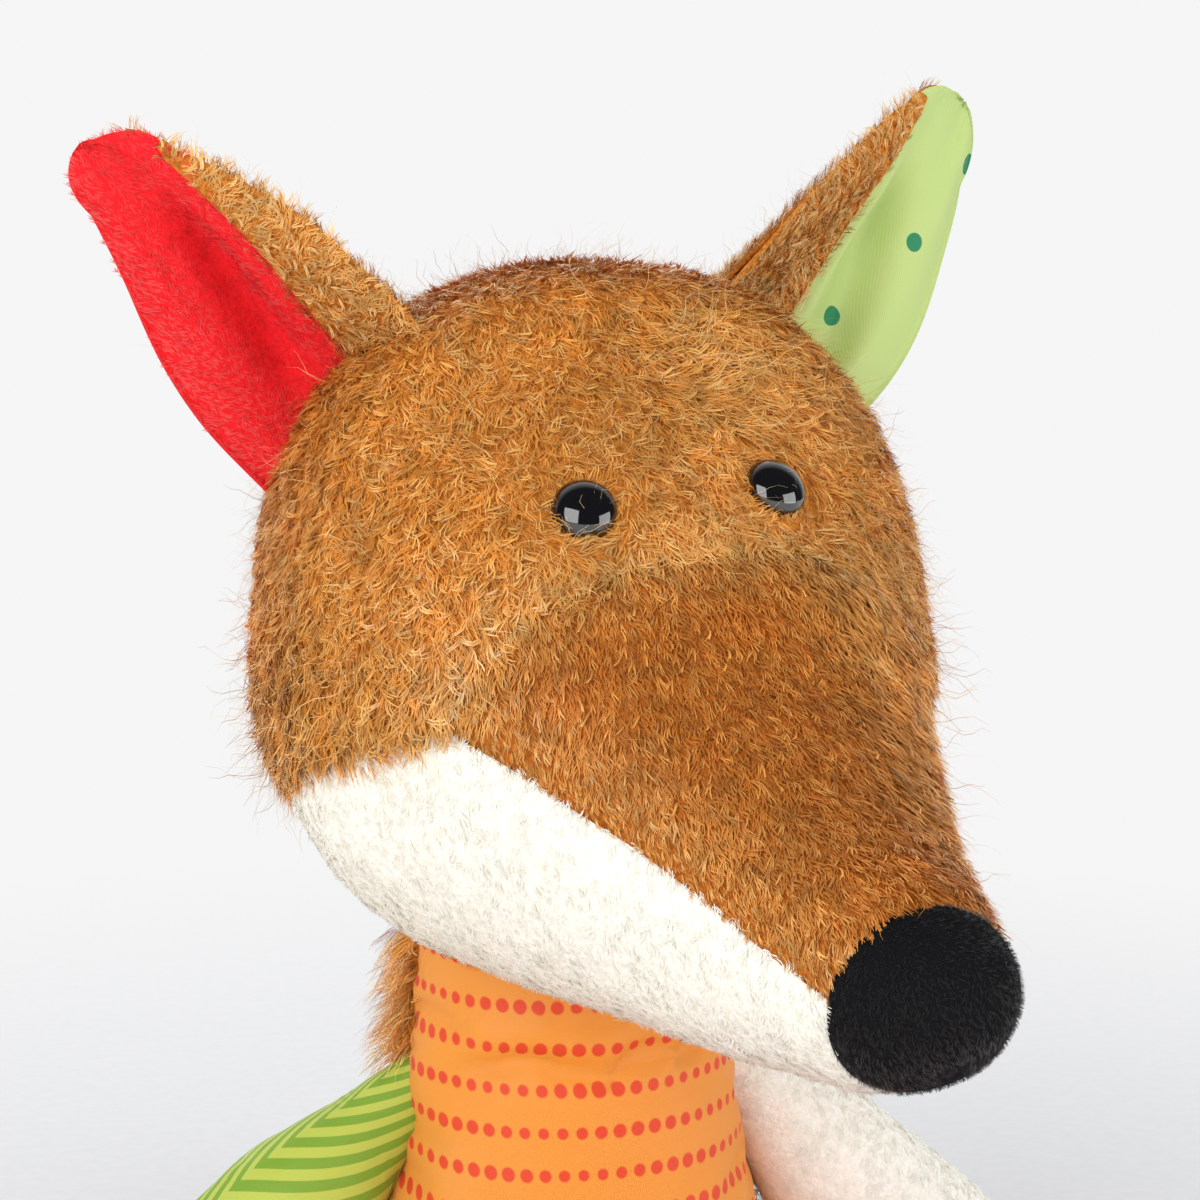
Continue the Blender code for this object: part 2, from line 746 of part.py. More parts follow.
def root_cuts(seat, point, normal, turn_axis, angles):
    """Planes that keep a limb clear of the torso at each angle, in its joint's frame.

    Each is the torso's tangent near the root, turned back by the joint's angle.
    """
    torso = closed_form(torso_point, TORSO_SEGMENTS, TORSO_RINGS)
    bmesh.ops.subdivide_edges(torso, edges=torso.edges[:], cuts=SEARCH_CUTS)
    near = [vertex.co - point for vertex in torso.verts
            if (vertex.co - point).length < ROOT_NEAR]
    torso.free()
    depth = max(offset.dot(normal) for offset in near) + MOTION_GAP
    into = seat.inverted().to_3x3()
    cuts = []
    for angle in angles:
        facing = Matrix.Rotation(math.radians(-angle), 3, turn_axis) @ into @ normal
        cuts.append((into @ (point - seat.translation) + facing * depth, facing))
    return cuts


def make_limb(shop, name, point_at, finish, joint, rings, cuts, tip=None):
    """A cloth sack, open at its root, round a form of stuffing.

    A tip is a name, a finish and a seam at which the sack changes cloth.
    """
    pieces = [(f"{name}_cover", finish, -1)]
    if tip:
        tip_name, tip_finish, seam = tip
        pieces.append((tip_name, tip_finish, 1))
    for piece, piece_finish, toward in pieces:
        form = closed_form(point_at, LIMB_SEGMENTS, rings)
        if tip:
            keep_side(form, seam, toward)
        for cut in cuts:
            keep_side(form, cut, 1, 0)
        thicken(shop.add(piece, form, piece_finish, joint), COVER_CLOTH)
    shrink = -(COVER_CLOTH + STUFFING_GAP)
    core = closed_form(point_at, LIMB_SEGMENTS, rings, shrink)
    for cut in cuts:
        keep_side(core, cut, 1, 0)
        close_openings(core)
    shop.add(f"{name}_stuffing", core, "stuffing", joint)


def make_arm(shop, side, finish):
    """An arm sewn into the side seam."""
    sign = SIDES[side]
    point = Vector((sign * torso_half_width(SHOULDER_HEIGHT), 0, SHOULDER_HEIGHT))
    seat = Matrix.Translation(point)
    joint = make_joint(f"arm_{side}_joint", seat)
    below = torso_half_width(SHOULDER_HEIGHT - ROOT_REACH)
    above = torso_half_width(SHOULDER_HEIGHT + ROOT_REACH)
    normal = Vector((sign * 2 * ROOT_REACH, 0, below - above)).normalized()
    angles = [-angle for angle in angle_steps(ARM_BACK_SWING, ARM_LIFT)]
    cuts = root_cuts(seat, point, normal, "X", angles)

    def point_at(place, angle):
        shape = arm_point(place, angle)
        return Vector((sign * shape.x, shape.y, shape.z))

    make_limb(shop, f"arm_{side}", point_at, finish, joint, LIMB_RINGS, cuts)


def make_leg(shop, side, finish):
    """A leg lying forward and outward from the belly's foot."""
    sign = SIDES[side]
    share = HIP_SPREAD / TORSO_HALF_WIDTH
    front = TORSO_HALF_DEPTH * math.sqrt(1 - share**2)
    normal = Vector((sign * share / TORSO_HALF_WIDTH, -front / TORSO_HALF_DEPTH**2, 0))
    normal.normalize()
    point = Vector((sign * HIP_SPREAD, -front, HIP_HEIGHT)) + normal * HIP_STAND_OFF
    seat = Matrix.Translation(point) @ Matrix.Rotation(math.radians(sign * LEG_SPLAY), 4, "Z")
    joint = make_joint(f"leg_{side}_joint", seat)
    angles = [-angle for angle in angle_steps(LEG_DROP, LEG_LIFT)]
    cuts = root_cuts(seat, point, normal, "X", angles)
    make_limb(shop, f"leg_{side}", leg_point, finish, joint, LIMB_RINGS, cuts)


def make_tail(shop):
    """The tail, with its tip in another cloth."""
    normal = Vector((0, 1, 0))
    point = Vector((0, TORSO_HALF_DEPTH + TAIL_STAND_OFF, TAIL_HEIGHT))
    seat = Matrix.Translation(point)
    joint = make_joint("tail_joint", seat)
    cuts = root_cuts(seat, point, normal, "Z", angle_steps(-TAIL_SWING, TAIL_SWING))
    seam = (Vector((0, TAIL_LENGTH * TAIL_TIP_SEAM_SHARE, 0)), normal)
    make_limb(shop, "tail", tail_point, "brown_plush", joint, TAIL_RINGS, cuts,
              ("tail_tip_cover", "cream_sherpa", seam))


def make_fox():
    """Build the whole toy."""
    for item in list(bpy.data.objects):
        bpy.data.objects.remove(item)
    shop = Workshop()
    covers, stuffing = make_head(shop)
    make_neck(shop)
    make_torso(shop)
    for side in SIDES:
        make_eye(shop, side, covers[f"crown_cover_{side}"], stuffing)
    make_ear(shop, "left", "green_satin")
    make_ear(shop, "right", "red_plush")
    make_arm(shop, "left", "cream_sherpa")
    make_arm(shop, "right", "striped_satin")
    make_leg(shop, "left", "red_plush")
    make_leg(shop, "right", "orange_satin")
    make_tail(shop)


make_fox()
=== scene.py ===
"""A sitting plush fox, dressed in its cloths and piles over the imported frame.

It faces -Y, its left side is at +X, and lengths are in metres. Each sub-assembly repeats
the sizes of its solids, builds a finer skin on them, and grows its pile on the skin.
"""

import json
import logging
import math
import random
from dataclasses import dataclass, field
from enum import Enum
from typing import Callable, Iterable, Sequence

import bmesh
import bpy
import numpy as np
from mathutils import Matrix, Vector, noise

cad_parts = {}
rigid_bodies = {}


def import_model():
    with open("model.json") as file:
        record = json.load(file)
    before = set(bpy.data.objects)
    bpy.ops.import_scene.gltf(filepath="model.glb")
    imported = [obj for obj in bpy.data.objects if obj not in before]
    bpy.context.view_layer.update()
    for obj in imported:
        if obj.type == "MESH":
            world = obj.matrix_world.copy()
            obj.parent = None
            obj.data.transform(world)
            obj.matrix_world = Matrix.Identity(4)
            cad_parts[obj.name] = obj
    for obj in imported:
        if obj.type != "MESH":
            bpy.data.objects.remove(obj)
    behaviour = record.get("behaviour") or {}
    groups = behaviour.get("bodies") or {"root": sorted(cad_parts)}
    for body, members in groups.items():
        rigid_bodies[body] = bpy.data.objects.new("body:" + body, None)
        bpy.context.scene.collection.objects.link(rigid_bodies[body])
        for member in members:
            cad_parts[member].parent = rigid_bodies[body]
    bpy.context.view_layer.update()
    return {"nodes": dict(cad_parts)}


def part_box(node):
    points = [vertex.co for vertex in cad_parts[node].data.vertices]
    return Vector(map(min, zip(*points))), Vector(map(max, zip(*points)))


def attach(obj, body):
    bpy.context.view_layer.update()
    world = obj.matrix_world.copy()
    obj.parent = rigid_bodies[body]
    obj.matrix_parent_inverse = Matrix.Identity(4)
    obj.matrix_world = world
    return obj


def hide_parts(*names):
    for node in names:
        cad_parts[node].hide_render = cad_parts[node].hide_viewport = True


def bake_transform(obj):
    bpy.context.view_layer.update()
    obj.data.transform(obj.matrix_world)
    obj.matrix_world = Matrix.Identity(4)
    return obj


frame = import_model()

Colour = tuple[float, float, float]
Row = tuple[float, ...]
PointAt = Callable[[float, float], Vector]
Field = Callable[[Vector], float]
Comb = Callable[[Vector, Vector], Vector]

LOG = logging.getLogger("plush_fox")
UP = Vector((0, 0, 1))
SIDE_AXIS = Vector((1, 0, 0))
BACKWARD = Vector((0, 1, 0))
CLOTH_WALL = 0.001
EAR_WALL = 0.0009
LINING_WALL = 0.0008
FILLING_FRAMES = 22
FILLING_SHIFT = 0.0012
SHOULDER = (0.028115, 0.0, 0.069)
HIP = (0.022529, -0.034924, 0.0145)
LEG_SPLAY = 19
TAIL_ROOT = (0.0, 0.039, 0.0165)


class Side(Enum):
    """Which side of the fox a piece is on, with the sign of its X."""

    LEFT = 1
    RIGHT = -1

    @property
    def word(self) -> str:
        """The side's name in piece and body names."""
        return self.name.lower()


class Print(Enum):
    """What is printed on a satin."""

    DOTS = "rows of dots"
    STRIPES = "blocks of slanting stripes"


def smooth_between(values: Sequence[float], part: float) -> float:
    """Catmull-Rom curve between the two middle ones of four values.

    Args:
        values: The value before, the two ends, and the value after.
        part: Place between the two ends, from 0 to 1.

    Returns:
        The value there.
    """
    a, b, c, d = values
    slope = (c - a) * part
    bend = (2 * a - 5 * b + 4 * c - d) * part**2
    twist = (3 * b - a - 3 * c + d) * part**3
    return b + (slope + bend + twist) / 2


def read_shares(table: Sequence[Row], place: float, positions: int) -> list[float]:
    """Read a table of shares on a smooth curve through its rows.

    Args:
        table: Rows of shares, the first columns being positions and the others sizes.
        place: Place along the table, from 0 to 1.
        positions: How many columns are positions.

    Returns:
        One value for each column. Sizes change sign beyond either end, at the pole.
    """
    last = len(table) - 1
    row = min(max(int(place * last), 0), last - 1)
    part = place * last - row
    signs = [1] * positions + [-1] * (len(table[0]) - positions)
    before = table[row - 1] if row > 0 else [s * v for s, v in zip(signs, table[1])]
    after = table[row + 2] if row + 2 <= last else [s * v for s, v in zip(signs, table[-2])]
    columns = zip(before, table[row], table[row + 1], after)
    return [smooth_between(values, part) for values in columns]


def signed_power(value: float, power: float) -> float:
    """Power of a number that keeps its sign."""
    return math.copysign(abs(value) ** power, value)


def clamp(value: float, low: float = 0.0, high: float = 1.0) -> float:
    """A number kept between two limits."""
    return max(low, min(high, value))


def ease(value: float) -> float:
    """Smooth step of a number from 0 to 1."""
    value = clamp(value)
    return value * value * (3 - 2 * value)


@dataclass(frozen=True)
class Seam:
    """A plane at which two panels meet."""

    point: Vector
    normal: Vector

    def height(self, place: Vector) -> float:
        """How far a place is on the side that the normal points to."""
        return (place - self.point).dot(self.normal)


Cut = tuple[Seam, int]


def add_object(name: str, data: bpy.types.ID) -> bpy.types.Object:
    """A new object of the scene that shows some data."""
    item = bpy.data.objects.new(name, data)
    bpy.context.scene.collection.objects.link(item)
    return item


def facing(way: Vector) -> Matrix:
    """The turn that points Z along a way."""
    return way.to_track_quat("Z", "Y").to_matrix().to_4x4()


class Form:
    """A mesh of the maker's, while it is shaped, cut and tucked."""

    def __init__(self, point_at: PointAt, segments: int, rings: int) -> None:
        """Lay rings over a closed form between its two poles.

        Args:
            point_at: Gives a point from a place from 0 to 1 and an angle in radians.
            segments: Points in a ring.
            rings: Steps from pole to pole.
        """
        self.mesh = bmesh.new()
        make = self.mesh.verts.new
        start = make(point_at(0, 0))
        end = make(point_at(1, 0))
        loops = []
        for ring in range(1, rings):
            turns = (2 * math.pi * step / segments for step in range(segments))
            loops.append([make(point_at(ring / rings, turn)) for turn in turns])
        for step in range(segments):
            after = (step + 1) % segments
            self.mesh.faces.new((start, loops[0][step], loops[0][after]))
            self.mesh.faces.new((end, loops[-1][after], loops[-1][step]))
            for near, far in zip(loops, loops[1:]):
                self.mesh.faces.new((near[step], far[step], far[after], near[after]))
        bmesh.ops.recalc_face_normals(self.mesh, faces=self.mesh.faces)
        self.mesh.normal_update()

    @classmethod
    def of(cls, mesh: bmesh.types.BMesh) -> "Form":
        """A form that takes over a mesh."""
        form = cls.__new__(cls)
        form.mesh = mesh
        return form

    def copy(self) -> "Form":
        """A second form with the same mesh."""
        return Form.of(self.mesh.copy())

    def places(self) -> list[tuple[bmesh.types.BMVert, Vector, Vector]]:
        """Each vertex with copies of its place and its normal."""
        self.mesh.normal_update()
        return [(vertex, vertex.co.copy(), vertex.normal.copy()) for vertex in self.mesh.verts]

    def keep(self, cuts: Iterable[Cut]) -> None:
        """Cut at each seam and keep the side that its normal times the sign points to."""
        for seam, sign in cuts:
            bmesh.ops.bisect_plane(
                self.mesh,
                geom=self.mesh.verts[:] + self.mesh.edges[:] + self.mesh.faces[:],
                dist=0.00002,
                plane_co=seam.point,
                plane_no=seam.normal * sign,
                clear_inner=True,
            )

    def lump(self, amount: float, size: float, seed: float) -> None:
        """Push the skin in and out by soft lumps, as stuffing does."""
        shift = Vector((seed, seed * 2, seed * 3))
        for vertex, place, normal in self.places():
            broad = noise.noise(place / size + shift)
            fine = noise.noise(place / size * 2.7 + shift) * 0.35
            vertex.co = place + normal * (broad + fine) * amount

    def tuck(self, cuts: Sequence[Cut], depth: float, reach: float) -> None:
        """Draw the skin in along its seams.

        Args:
            cuts: The seams that bound the panel.
            depth: How far the cloth is drawn in at the thread.
            reach: How far from the thread the draw fades.
        """
        for vertex, place, normal in self.places():
            near = min(max(0.0, seam.height(place) * sign) for seam, sign in cuts)
            pucker = 1 + 0.35 * noise.noise(place / 0.004)
            vertex.co = place - normal * depth * pucker * math.exp(-((near / reach) ** 1.4))

    def turn(self, matrix: Matrix) -> None:
        """Move the mesh by a matrix."""
        self.mesh.transform(matrix)
        self.mesh.normal_update()

    def become(self, name: str, material: bpy.types.Material) -> bpy.types.Object:
        """Turn the form into a smooth object at the origin."""
        mesh = bpy.data.meshes.new(name)
        self.mesh.to_mesh(mesh)
        self.mesh.free()
        mesh.shade_smooth()
        mesh.materials.append(material)
        return add_object(name, mesh)


def thicken(item: bpy.types.Object, thickness: float) -> None:
    """Give an open cloth its thickness, inwards, as plain mesh."""
    wall = item.modifiers.new("Cloth wall", "SOLIDIFY")
    wall.thickness = thickness
    wall.offset = -1
    wall.use_even_offset = False
    graph = bpy.context.evaluated_depsgraph_get()
    mesh = bpy.data.meshes.new_from_object(item.evaluated_get(graph))
    old = item.data
    item.modifiers.clear()
    item.data = mesh
    bpy.data.meshes.remove(old)
    mesh.name = item.name


def store(mesh: bpy.types.Mesh, name: str, values: Sequence[float]) -> None:
    """Store a number for each vertex of a mesh."""
    layer = mesh.attributes.new(name, "FLOAT", "POINT")
    layer.data.foreach_set("value", np.array(values, np.float32))


def furnish(skin: bpy.types.Object, comb: Comb, **fields: Field) -> None:
    """Store what a pile reads on its skin.

    Args:
        skin: The skin that the pile will stand on.
        comb: The way that the pile lies; it is laid into the skin's plane.
        fields: Numbers to store at each vertex, by name: cover, length and the pale share, which
            on some pieces is painted light.
    """
    mesh = skin.data
    lies = []
    for vertex in mesh.vertices:
        lie = comb(vertex.co, vertex.normal)
        lie = lie - vertex.normal * lie.dot(vertex.normal)
        if lie.length < 1e-6:
            lie = vertex.normal.orthogonal()
        lies.extend(lie.normalized())
    layer = mesh.attributes.new("comb", "FLOAT_VECTOR", "POINT")
    layer.data.foreach_set("vector", np.array(lies, np.float32))
    for name, value_at in fields.items():
        store(mesh, name, [value_at(vertex.co) for vertex in mesh.vertices])


def write_uv(item: bpy.types.Object, uv_at: Callable[[Vector], tuple[float, float]],
             period: float = 0.0) -> None:
    """Lay the cloth flat: a UV map in centimetres along and across its thread.

    Args:
        item: The cloth.
        uv_at: Place on the flat cloth of a point.
        period: How far it is once round, where the cloth closes on itself.
    """
    mesh = item.data
    layer = mesh.uv_layers.new(name="Cloth")
    flat = [uv_at(vertex.co) for vertex in mesh.vertices]
    values = np.array([flat[loop.vertex_index] for loop in mesh.loops], np.float32)
    if period:
        for face in mesh.polygons:
            span = slice(face.loop_start, face.loop_start + face.loop_total)
            across = values[span, 0]
            if across.max() - across.min() > period / 2:
                values[span, 0] = np.where(across < across.max() - period / 2,
                                           across + period, across)
    layer.data.foreach_set("uv", values.ravel())


class Graph:
    """A node tree, with short ways to add to it."""

    def __init__(self, tree: bpy.types.NodeTree) -> None:
        """Work on a tree."""
        self.tree = tree

    def feed(self, socket: bpy.types.NodeSocket, value: object) -> None:
        """Link a socket to another one, or set its value."""
        if isinstance(value, bpy.types.NodeSocket):
            self.tree.links.new(value, socket)
        elif isinstance(value, tuple) and len(value) == 3 and socket.type == "RGBA":
            socket.default_value = (*value, 1)
        else:
            socket.default_value = value

    def node(self, kind: str, inputs: dict | None = None, **settings: object) -> bpy.types.Node:
        """Add a node, set its properties, and link or set its inputs by name or number."""
        node = self.tree.nodes.new(kind)
        for name, value in settings.items():
            setattr(node, name, value)
        for key, value in (inputs or {}).items():
            self.feed(node.inputs[key], value)
        return node

    def math(self, kind: str, *values: object) -> bpy.types.NodeSocket:
        """A Math node of a kind, such as MULTIPLY."""
        return self.node("ShaderNodeMath", dict(enumerate(values)), operation=kind).outputs[0]


class Nodes(Graph):
    """A material's node tree."""

    def __init__(self, name: str) -> None:
        """Start a material of a Principled shader."""
        self.material = bpy.data.materials.new(name)
        self.material.use_nodes = True
        super().__init__(self.material.node_tree)
        self.shader = self.tree.nodes["Principled BSDF"]

    def attribute(self, name: str, output: str = "Fac") -> bpy.types.NodeSocket:
        """A number or a vector stored on the mesh."""
        return self.node("ShaderNodeAttribute", attribute_name=name).outputs[output]

    def places(self) -> bpy.types.NodeSocket:
        """The point's place in the row frame."""
        return self.node("ShaderNodeTexCoord").outputs["Object"]

    def flat(self) -> list[bpy.types.NodeSocket]:
        """The place on the flat cloth, across and along, in centimetres."""
        cloth = self.node("ShaderNodeUVMap", uv_map="Cloth").outputs["UV"]
        split = self.node("ShaderNodeSeparateXYZ", {0: cloth})
        return [split.outputs[0], split.outputs[1]]

    def noise(self, scale: float, detail: float = 2) -> bpy.types.NodeSocket:
        """Soft noise, in places per metre."""
        return self.node("ShaderNodeTexNoise", {
            "Vector": self.places(), "Scale": scale, "Detail": detail}).outputs["Fac"]

    def ramp(self, value: object, stops: Sequence[tuple[float, Colour]]) -> bpy.types.NodeSocket:
        """Colours along a number."""
        node = self.node("ShaderNodeValToRGB", {0: value})
        points = node.color_ramp.elements
        while len(points) < len(stops):
            points.new(0.5)
        for point, (place, colour) in zip(points, stops):
            point.position = place
            point.color = (*colour, 1)
        return node.outputs[0]

    def greys(self, value: object, *stops: tuple[float, float]) -> bpy.types.NodeSocket:
        """Greys along a number, each stop a place and a share of white."""
        return self.ramp(value, [(place, (share,) * 3) for place, share in stops])

    def mix(self, share: object, first: object, second: object,
            blend: str = "MIX") -> bpy.types.NodeSocket:
        """Mix two colours."""
        return self.node("ShaderNodeMix", {0: share, 6: first, 7: second},
                         data_type="RGBA", blend_type=blend).outputs[2]

    def bump(self, height: object, distance: float, strength: float = 1.0) -> None:
        """Raise the surface by a height before it is lit."""
        node = self.node("ShaderNodeBump", {
            "Strength": strength, "Distance": distance, "Height": height})
        self.feed(self.shader.inputs["Normal"], node.outputs[0])

    def soften(self, share: float) -> None:
        """Light the fibres partly as the skin under them is lit."""
        turned = self.node("ShaderNodeVectorTransform", {0: self.attribute("skin", "Vector")},
                           vector_type="NORMAL", convert_from="OBJECT",
                           convert_to="WORLD").outputs[0]
        own = self.node("ShaderNodeNewGeometry").outputs["Normal"]
        agree = self.node("ShaderNodeVectorMath", {0: turned, 1: own},
                          operation="DOT_PRODUCT").outputs["Value"]
        towards = self.node("ShaderNodeVectorMath", {
            0: turned, "Scale": self.math("SIGN", agree)}, operation="SCALE").outputs[0]
        both = self.node("ShaderNodeMix", {0: share, 4: own, 5: towards},
                         data_type="VECTOR").outputs[1]
        unit = self.node("ShaderNodeVectorMath", {0: both}, operation="NORMALIZE")
        self.feed(self.shader.inputs["Normal"], unit.outputs[0])

    def finish(self, **sockets: object) -> bpy.types.Material:
        """Set the shader's sockets by their names in lower case."""
        names = {socket.name.lower(): socket for socket in self.shader.inputs}
        for name, value in sockets.items():
            self.feed(names[name.replace("_", " ")], value)
        return self.material


@dataclass(frozen=True)
class FibreFinish:
    """The look of a pile's fibres, from root to tip."""

    name: str
    root: Colour
    middle: Colour
    tip: Colour
    low: float = 0.62
    high: float = 1.35
    roughness: float = 0.5
    sheen: float = 0.0
    patch: float = 0.12
    patch_scale: float = 45
    # pale colour: partly the pile's real paler fibres, partly painted light
    pale: Colour | None = None
    shine: float = 0.3
    soften: float = 0.65
    # share of colour at a ribbon's edges: painted shade that makes a flat ribbon look round
    edge: float = 0.62
    clump: float = 0.0

    def build(self) -> bpy.types.Material:
        """Make the material; it reads along, across, tone, the pale attribute and skin on the
        fibres, and paints shade on each ribbon's edges from across.
        """
        nodes = Nodes(self.name)
        colour = nodes.ramp(nodes.attribute("along"),
                            [(0.0, self.root), (0.45, self.middle), (1.0, self.tip)])
        # the pale share is partly real pale fur and partly painted light: on the muzzle's left
        # flank, the ears' fur and the red lining
        if self.pale:
            colour = nodes.mix(nodes.attribute("pale"), colour, self.pale)
        shades = [
            nodes.greys(nodes.attribute("tone"), (0.0, self.low), (0.5, 1), (1.0, self.high)),
            nodes.greys(nodes.noise(self.patch_scale),
                        (0.35, 1 - self.patch), (0.65, 1 + self.patch)),
        ]
        if self.clump:
            shades.append(nodes.greys(nodes.noise(260, 1), (0.32, 1 - self.clump), (0.55, 1)))
        # painted shade: darker towards each ribbon's edges, so that it reads as a round lock
        shades.append(nodes.greys(nodes.math("ABSOLUTE", nodes.attribute("across")),
                                  (0.2, 1), (1.0, self.edge)))
        for shade in shades:
            colour = nodes.mix(1.0, colour, shade, "MULTIPLY")
        nodes.soften(self.soften)
        return nodes.finish(base_color=colour, roughness=self.roughness,
                            sheen_weight=self.sheen, specular_ior_level=self.shine)


@dataclass(frozen=True)
class BackingFinish:
    """The knitted ground that a pile stands in."""

    name: str
    colour: Colour
    depth: float = 0.0004
    stitches: float = 900
    # share of colour in the darker spots of the mottle, which are painted shade
    shade: float = 0.9

    def build(self) -> bpy.types.Material:
        """Make the material, a fine knit mottled darker in painted shade, so that the gaps in
        the pile read as deep.
        """
        nodes = Nodes(self.name)
        patch = nodes.ramp(nodes.noise(self.stitches * 1.6, 3), [
            (0.38, tuple(self.shade * part for part in self.colour)), (0.62, self.colour)])
        nodes.bump(nodes.noise(self.stitches, 2), self.depth)
        return nodes.finish(base_color=patch, roughness=0.95, specular_ior_level=0.15)


@dataclass(frozen=True)
class SatinFinish:
    """A smooth printed satin."""

    name: str
    ground: Colour
    ink: Colour
    pattern: Print
    pitch: float = 0.31
    rows: float = 0.66
    dot: float = 0.1
    blur: float = 0.012

    def print_mask(self, nodes: Nodes) -> bpy.types.NodeSocket:
        """Where the ink lies, from 0 to 1."""
        shape = self.stripes if self.pattern is Print.STRIPES else self.dots
        edge = shape(nodes, *nodes.flat())
        return nodes.math("MINIMUM", nodes.math("MAXIMUM", edge, 0.0), 1.0)

    def dots(self, nodes: Nodes, across: bpy.types.NodeSocket,
             along: bpy.types.NodeSocket) -> bpy.types.NodeSocket:
        """Rows of dots, a little uneven in size."""
        row = nodes.math("FLOOR", nodes.math("DIVIDE", along, self.rows))
        squares = []
        for place, size in ((along, self.rows), (across, self.pitch)):
            part = nodes.math("FRACT", nodes.math("DIVIDE", place, size))
            off = nodes.math("MULTIPLY", nodes.math("SUBTRACT", part, 0.5), size)
            squares.append(nodes.math("POWER", off, 2.0))
        distance = nodes.math("SQRT", nodes.math("ADD", *squares))
        beat = nodes.math("SINE", nodes.math("ADD", nodes.math("MULTIPLY", across, 1.9),
                                             nodes.math("MULTIPLY", row, 1.3)))
        radius = nodes.math("ADD", nodes.math("MULTIPLY", beat, self.dot * 0.12), self.dot)
        return nodes.math("DIVIDE", nodes.math("SUBTRACT", radius, distance), self.blur)

    def stripes(self, nodes: Nodes, across: bpy.types.NodeSocket,
                along: bpy.types.NodeSocket) -> bpy.types.NodeSocket:
        """Slanting stripes, steep in a narrow block and gentle in the wide one beside it."""
        wide = 0.72
        narrow = 0.28
        block = nodes.math("FRACT", nodes.math("DIVIDE", across, self.pitch))
        gentle = nodes.math("DIVIDE", nodes.math("SUBTRACT", wide, block), wide)
        steep = nodes.math("DIVIDE", nodes.math("SUBTRACT", block, wide), narrow)
        fold = nodes.math("MULTIPLY", nodes.math("MAXIMUM", gentle, steep), self.pitch * 0.65)
        turn = nodes.math("MULTIPLY", nodes.math("ADD", along, fold), 2 * math.pi / self.rows)
        return nodes.math("ADD", nodes.math("MULTIPLY", nodes.math("SINE", turn), 5.0), 0.5)

    def build(self) -> bpy.types.Material:
        """Make the material: print, fine thread and soft shine."""
        nodes = Nodes(self.name)
        wear = nodes.math("MULTIPLY", nodes.noise(60, 3), 0.05)
        worn = nodes.mix(wear, self.ground, (1, 1, 1))
        colour = nodes.mix(self.print_mask(nodes), worn, self.ink)
        across, along = nodes.flat()
        slant = nodes.math("ADD", nodes.math("MULTIPLY", across, 150.0),
                           nodes.math("MULTIPLY", along, 95.0))
        weft = nodes.math("SINE", nodes.math("MULTIPLY", along, 210.0))
        thread = nodes.math("ADD", nodes.math("SINE", slant), nodes.math("MULTIPLY", weft, 0.5))
        lit = nodes.math("ADD", nodes.math("MULTIPLY", thread, 0.3), 0.5)
        colour = nodes.mix(1.0, colour, nodes.greys(lit, (0.0, 0.90), (1.0, 1.0)), "MULTIPLY")
        wrinkle = nodes.math("MULTIPLY", nodes.noise(70, 2), 12.0)
        nodes.bump(nodes.math("ADD", thread, wrinkle), 0.00004, 0.25)
        return nodes.finish(base_color=colour, roughness=0.5, sheen_weight=0.05,
                            specular_ior_level=0.35, anisotropic=0.4)


@dataclass(frozen=True)
class GlossFinish:
    """Black moulded plastic of an eye."""

    name: str
    colour: Colour

    def build(self) -> bpy.types.Material:
        """Make the material, polished with the faintest haze."""
        nodes = Nodes(self.name)
        haze = nodes.greys(nodes.noise(700, 2), (0.3, 0.03), (0.7, 0.07))
        return nodes.finish(base_color=self.colour, roughness=haze, specular_ior_level=0.5,
                            coat_weight=1.0, coat_roughness=0.04, coat_ior=1.8)


